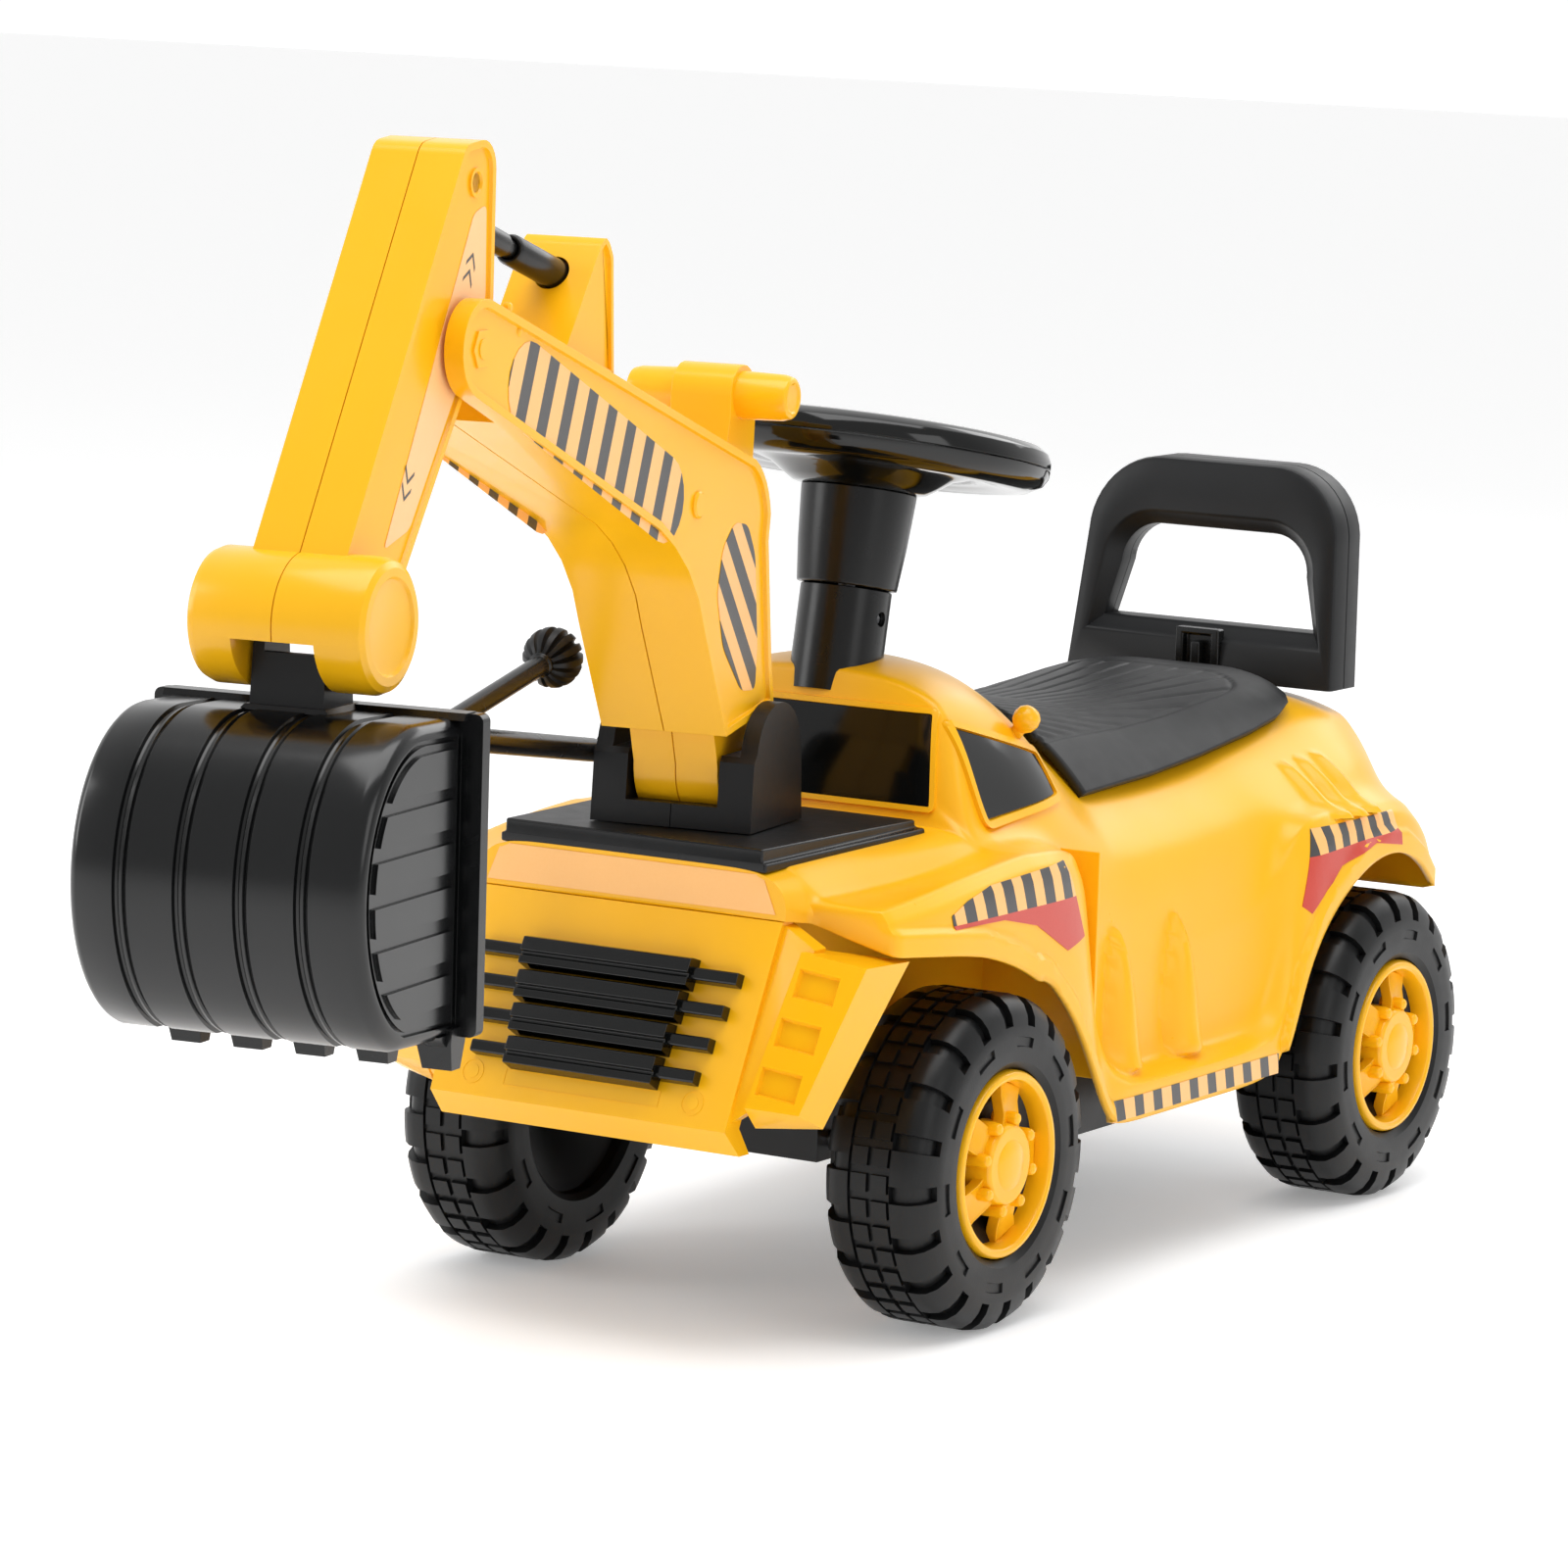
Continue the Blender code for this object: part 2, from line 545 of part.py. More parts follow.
def make_stick(arm):
    pivot = (0, *STICK_PIN)
    boss = arc(*BUCKET_PIN, BOSS_R, 0, 345, 23)
    for side, name in ((-1, "stick_left"), (1, "stick_right")):
        half = add_piece(name, tray(STICK_OUTLINE, side * 0.2, side * STICK_HALF), YELLOW, arm, pivot)
        drum = tray(boss, side * 0.2, side * BOSS_HALF, 3.5)
        fuse(half, drum)
        cut(half, rod((-60, *STICK_PIN), (60, *STICK_PIN), AXLE_R + GAP))
        cut(half, rod((-30, *BUCKET_PIN), (30, *BUCKET_PIN), BOSS_R - 6, 16))
        y, z = BUCKET_PIN
        cut(half, box((-18, y - 32, z - 40), (18, y + 32, z - 4)))
    add_piece("stick_pin", rod((-25.5, *STICK_PIN), (25.5, *STICK_PIN), AXLE_R), STEEL, arm, pivot)


def make_bucket(arm):
    pivot = (0, *BUCKET_PIN)
    outline = [tuple(p) for p in BUCKET_OUTLINE]
    inner = inset(outline, WALL)
    opening = -361
    bm = prism(outline, -BUCKET_HALF, BUCKET_HALF)
    bucket = add_piece("bucket", bm, GLOSS, arm, pivot)
    cut(bucket, prism([(opening + 20, z) if y > -369 else (y, z) for y, z in inner],
                      -BUCKET_HALF + WALL, BUCKET_HALF - WALL))
    for side in (-1, 1):
        x0, x1 = sorted((side * (BUCKET_HALF - 1), side * FLANGE_HALF))
        fuse(bucket, box((x0, -368, 186), (x1, -362, 311.5)))
    for i in range(5):
        x = -52 + 26 * i
        fuse(bucket, box((x - 7, -374, 173), (x + 7, -365, 186)))
    y, z = BUCKET_PIN
    ear = [(y - 12, 311.5), (y + 12, 311.5), (y + 9, z + 4), (y + 4, z + 9), (y - 4, z + 9), (y - 9, z + 4)]
    block = add_piece("bucket_hinge", prism(ear, -16, 16), BLACK, arm, pivot)
    cut(block, rod((-60, *BUCKET_PIN), (60, *BUCKET_PIN), AXLE_R + GAP))
    cut(block, box((-11, y - 30, 322), (11, y + 30, 370)))
    cut(block, prism([(-400, 305), (-340, 305), (-340, 312.6), (-400, 312.6)], -40, 40))
    pin = rod((-BOSS_HALF + 4, *BUCKET_PIN), (BOSS_HALF - 4, *BUCKET_PIN), AXLE_R)
    add_piece("bucket_pin", pin, STEEL, arm, pivot)
    lug = [(-374, 310), (-374, 298)] + arc(-300, 292, 8, 235, 440, 8)
    fuse(bucket, prism(lug, -54.2, -50.4))


def make_lever_and_link(arm):
    pivot = (0, *BUCKET_PIN)
    knob, inside = Vector((LEVER_X, -34, 291)), Vector((LEVER_X, -400, 229.2))
    along = (knob - inside).normalized()
    shaft = rod(inside, knob - along * 12, 4.5, 10)
    add_piece("lever_rod", shaft, BLACK, arm, pivot)
    ball = [(5, -11.5), (10.5, -8), (13.5, 0), (11.5, 7), (6, 12)]
    add_piece("lever_knob", aim(turned(ball, 14), knob, along), BLACK, arm, pivot)
    foot, tip = Vector((LINK_X, *BOOM_PIN)), Vector((LINK_X, -300, 292))
    line = (tip - foot).normalized()
    link = add_piece("link_rod", rod(foot + line * 14, tip - line * 5, 5, 10), BLACK, arm, tuple(foot))
    fuse(link, rod(foot + line * 5, foot + line * 16, 3.6, 10))
    fuse(link, prism(arc(-300, 292, 7.5, 0, 330, 11), LINK_X - 5, LINK_X + 5))
    fuse(link, prism(arc(*BOOM_PIN, 8, 0, 330, 11), LINK_X - 3, LINK_X + 5))
    cut(link, rod((-60, *BOOM_PIN), (-30, *BOOM_PIN), AXLE_R + GAP))


# ---- assembly ------------------------------------------------------------------------------------
def main():
    clear_scene()
    toy = make_empty("toy", (0, TOY_Y, 0))
    arm = make_empty("arm", (0, SWIVEL_Y, 0), toy, ARM_YAW)
    make_body(toy)
    make_bin(toy)
    make_front_panel(toy)
    make_grille(toy)
    make_plinth(toy)
    make_glazing(toy)
    make_saddle(toy)
    make_backrest(toy)
    make_underframe(toy)
    make_steering(toy)
    make_front_truck(toy)
    for place, side, y in (
        ("front_left", -1, FRONT_AXLE_Y), ("front_right", 1, FRONT_AXLE_Y),
        ("rear_left", -1, REAR_AXLE_Y), ("rear_right", 1, REAR_AXLE_Y),
    ):
        make_wheel(toy, place, side, y)
    make_turret(arm)
    make_boom(arm)
    make_upper_ram(arm)
    make_stick(arm)
    make_bucket(arm)
    make_lever_and_link(arm)
    bpy.context.view_layer.update()


main()
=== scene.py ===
# %% [markdown]
# # A ride-on toy excavator
# The frame holds every solid of the toy at its real size, and the bodies that its joints move. This lesson
# builds the looks around it: blow-moulded yellow shells, black injection-moulded parts, stickers and wheels.
# Each piece is drawn in millimetres, in one of two drawing frames, and then rides on the body it belongs to.

# %% Load the frame
import json
import math

import bmesh
import bpy
from mathutils import Matrix, Vector
from mathutils.bvhtree import BVHTree

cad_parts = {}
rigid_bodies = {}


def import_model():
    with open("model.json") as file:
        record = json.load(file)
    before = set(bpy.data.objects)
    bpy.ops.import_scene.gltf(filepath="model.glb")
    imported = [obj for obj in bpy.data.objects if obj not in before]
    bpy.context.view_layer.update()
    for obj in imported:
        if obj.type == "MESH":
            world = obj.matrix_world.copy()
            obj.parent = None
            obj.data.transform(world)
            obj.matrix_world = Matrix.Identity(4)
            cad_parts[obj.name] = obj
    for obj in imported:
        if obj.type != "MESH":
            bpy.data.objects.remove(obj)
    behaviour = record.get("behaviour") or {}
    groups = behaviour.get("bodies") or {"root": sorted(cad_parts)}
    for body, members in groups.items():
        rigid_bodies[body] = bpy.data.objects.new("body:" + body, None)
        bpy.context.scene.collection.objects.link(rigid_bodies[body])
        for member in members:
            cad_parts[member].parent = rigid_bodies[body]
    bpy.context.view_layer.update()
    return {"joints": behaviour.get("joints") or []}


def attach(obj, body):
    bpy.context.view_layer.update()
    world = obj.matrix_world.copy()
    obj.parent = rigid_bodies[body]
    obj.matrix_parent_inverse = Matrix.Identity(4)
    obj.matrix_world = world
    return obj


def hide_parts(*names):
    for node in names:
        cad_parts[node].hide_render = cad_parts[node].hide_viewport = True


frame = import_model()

JOINTS = {j["name"]: j for j in frame["joints"]}

# %% [markdown]
# The toy's own drawing frame starts at the middle of the floor. The arm's frame starts on the turret's swivel
# axis and is turned with the arm, which is parked a little to one side. Both come from the joints, so the
# pieces follow the solids if those ever move.

# %% The two drawing frames
MM = 0.001
FRONT_AXLE_Y = -213.3
toy_shift = JOINTS["spin_front_right"]["pos_m"][1] - FRONT_AXLE_Y * MM
swivel = Vector(JOINTS["turret_swivel"]["pos_m"])
hinge_line = Vector(JOINTS["stick_swing"]["axis"])
arm_yaw = math.atan2(hinge_line.y, hinge_line.x)
TOY = Matrix.Translation((0, toy_shift, 0)) @ Matrix.Scale(MM, 4)
ARM = Matrix.Translation((0, swivel.y, 0)) @ Matrix.Rotation(arm_yaw, 4, "Z") @ Matrix.Scale(MM, 4)
print("arm yaw in degrees:", round(math.degrees(arm_yaw), 2))

# %% [markdown]
# A long lens from the front and a little above keeps the toy's lines nearly parallel. The camera stands on a
# line given by two angles and a distance, and rolls a little.

# %% Camera
AZIMUTH, ELEVATION, ROLL = math.radians(31.6052), math.radians(8.2298), math.radians(1.7354)
AIM_AT, DISTANCE = Vector((-0.0797, 0.1800, 0.2054)), 3.1911
back = Vector((math.sin(AZIMUTH) * math.cos(ELEVATION), -math.cos(AZIMUTH) * math.cos(ELEVATION),
               math.sin(ELEVATION)))
camera = bpy.data.objects.new("camera", bpy.data.cameras.new("camera"))
camera.data.lens = 154.55
camera.data.sensor_width = 36
camera.data.clip_end = 50
camera.rotation_mode = "QUATERNION"
camera.rotation_quaternion = (-back).to_track_quat("-Z", "Y") @ Matrix.Rotation(ROLL, 3, "Z").to_quaternion()
camera.location = AIM_AT + back * DISTANCE
bpy.context.collection.objects.link(camera)
bpy.context.scene.camera = camera
print("camera at", [round(v, 3) for v in camera.location])

# %% [markdown]
# A studio gives soft light from large panels. One big panel overhead makes the long highlights on the black
# parts, one on each side fills the shadows, and one behind lights the edges.

# %% Lamps
def add_panel(name, place, target, width, height, power):
    light = bpy.data.lights.new(name, "AREA")
    light.shape = "RECTANGLE"
    light.size, light.size_y = width, height
    light.energy = power
    panel = bpy.data.objects.new(name, light)
    panel.location = place
    panel.rotation_mode = "QUATERNION"
    panel.rotation_quaternion = (Vector(target) - Vector(place)).to_track_quat("-Z", "Y")
    bpy.context.collection.objects.link(panel)


MIDDLE = (0, 0, 0.2)
add_panel("overhead", (0.3, -0.3, 2.2), MIDDLE, 2.0, 1.4, 30)
add_panel("left_fill", (-2.3, -1.6, 1.2), MIDDLE, 1.0, 1.6, 17)
add_panel("right_fill", (2.5, -0.6, 1.2), MIDDLE, 1.0, 1.4, 7)
add_panel("back_rim", (0.3, 2.6, 1.6), MIDDLE, 2.0, 1.0, 12)

bpy.context.scene.view_settings.view_transform = "Standard"

# %% [markdown]
# Every finish is built by one small function that adds a node, sets it and links it. Colours are written as
# the hex values a painter would read off a swatch, and one function turns them into linear light.

# %% Node helpers
def linear(hex_value):
    channels = [int(hex_value[i:i + 2], 16) / 255 for i in (1, 3, 5)]
    return [c / 12.92 if c <= 0.04045 else ((c + 0.055) / 1.055) ** 2.4 for c in channels] + [1]


def add_node(tree, kind, settings=None, **links):
    """A node with its settings, its input values and its links; an input is named in lower case."""
    node = tree.nodes.new(kind)
    for key, value in (settings or {}).items():
        setattr(node, key, value)
    sockets = {s.name.lower().replace(" ", "_"): s for s in reversed(list(node.inputs)) if s.enabled}
    for key, value in links.items():
        socket = node.inputs[int(key[1:])] if key[0] == "i" and key[1:].isdigit() else sockets[key]
        if isinstance(value, bpy.types.NodeSocket):
            tree.links.new(value, socket)
        else:
            socket.default_value = value
    return node


def new_material(name, base, roughness, metallic=0.0, **sockets):
    material = bpy.data.materials.new(name)
    material.use_nodes = True
    tree = material.node_tree
    shader = tree.nodes["Principled BSDF"]
    shader.inputs["Base Color"].default_value = linear(base)
    shader.inputs["Roughness"].default_value = roughness
    shader.inputs["Metallic"].default_value = metallic
    for key, value in sockets.items():
        shader.inputs[key.replace("_", " ")].default_value = value
    material.diffuse_color = linear(base)
    return material, tree, shader


def object_noise(tree, size_mm, detail=2.0):
    """Noise whose lumps are about size_mm across, on the piece's own coordinates."""
    place = add_node(tree, "ShaderNodeTexCoord").outputs["Object"]
    return add_node(tree, "ShaderNodeTexNoise", vector=place, scale=1 / (size_mm * MM), detail=detail)


def vary(tree, shader, noise, low, high):
    """Lets the roughness wander between two values."""
    spread = add_node(tree, "ShaderNodeMapRange", value=noise.outputs["Fac"], to_min=low, to_max=high)
    tree.links.new(spread.outputs["Result"], shader.inputs["Roughness"])


def tint(tree, shader, noise, first, second):
    """Lets the colour wander between two close shades."""
    mix = add_node(tree, "ShaderNodeMix", {"data_type": "RGBA"})
    tree.links.new(noise.outputs["Fac"], mix.inputs[0])
    mix.inputs[6].default_value = linear(first)
    mix.inputs[7].default_value = linear(second)
    tree.links.new(mix.outputs[2], shader.inputs["Base Color"])


def roughen(tree, shader, height, depth_mm, normal=None):
    """Bump of a real depth; a second call can stand on the first one's normal."""
    links = {"normal": normal} if normal else {}
    bump = add_node(tree, "ShaderNodeBump", height=height, distance=depth_mm * MM, strength=1.0, **links)
    tree.links.new(bump.outputs["Normal"], shader.inputs["Normal"])
    return bump.outputs["Normal"]


# %% [markdown]
# A glossy black part shows the room more than its own colour. The room is white behind the toy and half as
# bright in front of it, so that the black parts stay deep. Its brightness is read from the direction looked
# in, measured against one fixed line, so it is the same room from every side.

# %% The room
world = bpy.data.worlds.new("studio")
bpy.context.scene.world = world
world.use_nodes = True
room = world.node_tree
looking = add_node(room, "ShaderNodeTexCoord").outputs["Generated"]
ahead = add_node(room, "ShaderNodeVectorMath", {"operation": "DOT_PRODUCT"}, i0=looking, i1=tuple(-back))
level = add_node(room, "ShaderNodeMapRange", value=ahead.outputs["Value"], from_min=-0.3, from_max=0.8,
                 to_min=0.5, to_max=1.05)
room.links.new(level.outputs["Result"], room.nodes["Background"].inputs["Strength"])
room.nodes["Background"].inputs["Color"].default_value = (1, 1, 1, 1)
print("room nodes:", len(room.nodes))

# %% [markdown]
# ## The yellow plastic
# The shells are high-density polyethylene, blown hot into a mould. The skin comes out with a soft gloss, very
# slightly wavy where it shrank, and a faint grain from the sand-blasted mould. So the gloss wanders a little,
# a slow wave bends the highlights, and a fine grain breaks them up. The arm's parts are injection moulded in
# the same colour and are a touch smoother.

# %% Yellow polyethylene
def yellow_plastic(name, roughness, wave_mm, grain_mm):
    material, tree, shader = new_material(name, "#FAB911", roughness, Specular_IOR_Level=0.45)
    cloudy = object_noise(tree, 60)
    tint(tree, shader, cloudy, "#FBBC13", "#F9B60E")
    vary(tree, shader, object_noise(tree, 14), roughness - 0.05, roughness + 0.05)
    wave = roughen(tree, shader, object_noise(tree, 28, 0.0).outputs["Fac"], wave_mm)
    roughen(tree, shader, object_noise(tree, 0.9).outputs["Fac"], grain_mm, wave)
    return material


BLOWN_YELLOW = yellow_plastic("blow_moulded_yellow_polyethylene", 0.30, 0.25, 0.012)
MOULDED_YELLOW = yellow_plastic("injection_moulded_yellow_polyethylene", 0.24, 0.08, 0.006)
print("yellow finishes:", BLOWN_YELLOW.name, MOULDED_YELLOW.name)

# %% [markdown]
# ## The black plastics
# Black polypropylene shows its surface more than its colour. The saddle, the turret and the backrest left a
# spark-textured mould, which gives a satin skin with a fine grain. The bucket, the windows and the steering
# wheel left polished steel and mirror the studio.

# %% Black polypropylene
def black_plastic(name, base, other, low, high, grain_size, grain_mm, wave_mm=0.012, shine=0.5):
    material, tree, shader = new_material(name, base, (low + high) / 2, Specular_IOR_Level=shine)
    tint(tree, shader, object_noise(tree, 25), base, other)
    vary(tree, shader, object_noise(tree, 9), low, high)
    wave = roughen(tree, shader, object_noise(tree, 22, 0.0).outputs["Fac"], wave_mm)
    roughen(tree, shader, object_noise(tree, grain_size).outputs["Fac"], grain_mm, wave)
    return material


SATIN_BLACK = black_plastic("spark_textured_black_polypropylene", "#111214", "#0D0E10", 0.36, 0.46, 0.8, 0.02,
                            shine=0.35)
SMOOTH_BLACK = black_plastic("moulded_black_polypropylene", "#0F1011", "#0B0C0D", 0.22, 0.30, 1.0, 0.006,
                             shine=0.4)
POLISHED_BLACK = black_plastic("polished_black_polypropylene", "#090A0A", "#060707", 0.07, 0.12, 1.0, 0.002)
GRAINY_BLACK = black_plastic("coarse_grained_black_polypropylene", "#131416", "#0D0E10", 0.40, 0.52, 1.4,
                             0.12,
                             shine=0.4)
BUCKET_BLACK = black_plastic("glossy_bucket_black_polypropylene", "#0C0D0E", "#090A0B", 0.17, 0.23, 1.0,
                             0.003)
SADDLE_BLACK = black_plastic("saddle_black_polypropylene", "#151617", "#101113", 0.44, 0.54, 0.7, 0.03,
                             shine=0.4)
TYRE_BLACK = black_plastic("satin_black_tyre_polyethylene", "#0B0C0D", "#08090A", 0.34, 0.46, 0.9, 0.03,
                           shine=0.35)

# %% [markdown]
# ## Steel and stickers
# Axles and pins are drawn steel wire: bright, with fine scratches along the bar. The stickers are thin vinyl
# with a warm peach ground, charcoal bars and a washed red, and their film is a little glossier than the
# plastic under it.

# %% Steel and vinyl
def steel_wire():
    material, tree, shader = new_material("drawn_steel_wire", "#B9BABD", 0.3, 1.0)
    place = add_node(tree, "ShaderNodeTexCoord").outputs["Object"]
    stretch = add_node(tree, "ShaderNodeMapping", vector=place, scale=(20, 900, 900))
    scratches = add_node(tree, "ShaderNodeTexNoise", vector=stretch.outputs["Vector"], scale=1.0)
    vary(tree, shader, scratches, 0.22, 0.4)
    roughen(tree, shader, scratches.outputs["Fac"], 0.01)
    return material


def vinyl(name, base, other):
    material, tree, shader = new_material(name, base, 0.3)
    tint(tree, shader, object_noise(tree, 1.2), base, other)
    vary(tree, shader, object_noise(tree, 5), 0.26, 0.36)
    roughen(tree, shader, object_noise(tree, 12).outputs["Fac"], 0.03)
    return material


STEEL = steel_wire()
PEACH_VINYL = vinyl("peach_vinyl", "#FFC379", "#FDBE70")
PALE_VINYL = vinyl("pale_orange_vinyl", "#FFCB8E", "#FEC786")
CHARCOAL_VINYL = vinyl("charcoal_vinyl", "#4A4848", "#434242")
RED_VINYL = vinyl("washed_red_vinyl", "#CE4A3C", "#C84336")
STICKER = (PEACH_VINYL, CHARCOAL_VINYL, RED_VINYL)

# %% [markdown]
# ## Modelling helpers
# Most parts here are plates: an outline in side view, pushed out to a thickness and rounded at its edges.
# Others are turned about an axle, or skinned through a row of cross sections. So three helpers start most
# pieces, one carves a piece with another, and one finishes a piece: it places it, points its faces outwards,
# rounds its edges, and lets it ride on its body.

# %% Outlines, plates, turned shapes and skins
def arc(cy, cz, radius, start, end, steps):
    """Points of a circle in (y, z), in degrees from +y towards +z."""
    turns = [math.radians(start + (end - start) * i / steps) for i in range(steps + 1)]
    return [(cy + radius * math.cos(t), cz + radius * math.sin(t)) for t in turns]


def add_loop(bm, points):
    verts = [bm.verts.new(p) for p in points]
    edges = [bm.edges.new((a, b)) for a, b in zip(verts, verts[1:] + verts[:1])]
    return verts, edges


def plate(outline, x0, x1, round_corners=0.0, bm=None):
    """A (y, z) outline pushed from x0 to x1, with its corners rounded if asked."""
    part = bmesh.new()
    verts, edges = add_loop(part, [(x0, y, z) for y, z in outline])
    face = part.faces.new(verts)
    if round_corners:
        bmesh.ops.bevel(part, geom=verts, offset=round_corners, offset_type="OFFSET", affect="VERTICES",
                        segments=5, profile=0.5, material=-1)
    bottom = list(part.faces)
    made = bmesh.ops.extrude_face_region(part, geom=bottom, use_keep_orig=True)["geom"]
    bmesh.ops.translate(part, verts=[g for g in made if isinstance(g, bmesh.types.BMVert)],
                        vec=(x1 - x0, 0, 0))
    bmesh.ops.recalc_face_normals(part, faces=part.faces)
    return merge_in(bm, part) if bm else part


def merge_in(bm, part):
    mesh = bpy.data.meshes.new("part")
    part.to_mesh(mesh)
    part.free()
    bm.from_mesh(mesh)
    bpy.data.meshes.remove(mesh)
    return bm


def turned(profile, steps=64, closed=False):
    """A (radius, along) profile spun about +X. A closed profile makes a ring; an open one is capped by its
    own points on the axis."""
    part = bmesh.new()
    verts = [part.verts.new((along, radius, 0)) for radius, along in profile]
    pairs = list(zip(verts, verts[1:] + ([verts[0]] if closed else [])))
    edges = [part.edges.new(pair) for pair in pairs]
    bmesh.ops.spin(part, geom=verts + edges, cent=(0, 0, 0), axis=(1, 0, 0), angle=2 * math.pi, steps=steps,
                   use_merge=True)
    bmesh.ops.remove_doubles(part, verts=part.verts, dist=0.001)
    bmesh.ops.recalc_face_normals(part, faces=part.faces)
    return part


def aim(bm, centre, direction):
    """Turns a shape made about +X so that it points along direction from centre."""
    turn = Vector((1, 0, 0)).rotation_difference(Vector(direction)).to_matrix().to_4x4()
    bmesh.ops.transform(bm, verts=bm.verts, matrix=Matrix.Translation(centre) @ turn)
    return bm


def skin(loops, ring=False):
    """A skin bridged through closed loops of points, in their order."""
    bm = bmesh.new()
    rows = [add_loop(bm, points)[1] for points in loops]
    pairs = list(zip(rows, rows[1:])) + ([(rows[-1], rows[0])] if ring else [])
    for a, b in pairs:
        bmesh.ops.bridge_loops(bm, edges=a + b)
    if not ring:
        bmesh.ops.holes_fill(bm, edges=rows[0] + rows[-1], sides=0)
    bmesh.ops.recalc_face_normals(bm, faces=bm.faces)
    return bm


def box(low, high, bm=None):
    part = bmesh.new()
    bmesh.ops.create_cube(part, size=1)
    low, high = Vector(low), Vector(high)
    bmesh.ops.scale(part, verts=part.verts, vec=high - low)
    bmesh.ops.translate(part, verts=part.verts, vec=(low + high) / 2)
    return merge_in(bm, part) if bm else part


def finish_piece(bm, name, finish, body, place=TOY, stands_for=(), edge=0.0,
                 subdivide=0, angle=32, segments=3, outward=True):
    """Places a mesh drawn in millimetres, rounds its edges by edge millimetres and lets it ride."""
    bmesh.ops.transform(bm, verts=bm.verts, matrix=place)
    if outward:
        bmesh.ops.recalc_face_normals(bm, faces=bm.faces)
    mesh = bpy.data.meshes.new(name)
    bm.to_mesh(mesh)
    bm.free()
    piece = bpy.data.objects.new(name, mesh)
    for material in finish if isinstance(finish, tuple) else (finish,):
        mesh.materials.append(material)
    bpy.context.collection.objects.link(piece)
    mesh.shade_smooth()
    mesh.set_sharp_from_angle(angle=math.radians(angle))
    if edge:
        bevel = piece.modifiers.new("edges", "BEVEL")
        bevel.width = edge * MM
        bevel.segments = segments
        bevel.limit_method = "ANGLE"
        bevel.angle_limit = math.radians(30)
        bevel.harden_normals = True
    if subdivide:
        smooth = piece.modifiers.new("smooth", "SUBSURF")
        smooth.levels = smooth.render_levels = subdivide
    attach(piece, body)
    if stands_for:
        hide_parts(*stands_for)
    return piece


def settle(piece):
    """Applies the piece's modifiers to its mesh."""
    graph = bpy.context.evaluated_depsgraph_get()
    graph.update()
    mesh = bpy.data.meshes.new_from_object(piece.evaluated_get(graph))
    piece.modifiers.clear()
    piece.data = mesh
    return piece


def carve(bm, tool, operation="DIFFERENCE"):
    """One shape cut out of another, or joined to it, before either has a place."""
    objects = []
    for shape in (bm, tool):
        bmesh.ops.recalc_face_normals(shape, faces=shape.faces)
        mesh = bpy.data.meshes.new("shape")
        shape.to_mesh(mesh)
        shape.free()
        obj = bpy.data.objects.new("shape", mesh)
        bpy.context.collection.objects.link(obj)
        objects.append(obj)
    cut = objects[0].modifiers.new("cut", "BOOLEAN")
    cut.operation = operation
    cut.object = objects[1]
    settle(objects[0])
    result = bmesh.new()
    result.from_mesh(objects[0].data)
    for obj in objects:
        bpy.data.objects.remove(obj)
    return result


def mirrored(bm):
    bmesh.ops.scale(bm, verts=bm.verts, vec=(-1, 1, 1))
    bmesh.ops.reverse_faces(bm, faces=bm.faces)
    return bm


SIDES = ((-1, "left"), (1, "right"))

# %% [markdown]
# ## The body
# The body is one blow-moulded shell: a bonnet with a cab behind it, a seat tub, and fenders over the wheels.
# Its shape is given by half sections along the toy, from the ridge over the shoulder and the fender shelf
# down to the lower edge. Bridging the sections gives a cage, a subdivision surface fairs it, and edges that
# are tight on the real shell keep a crease.

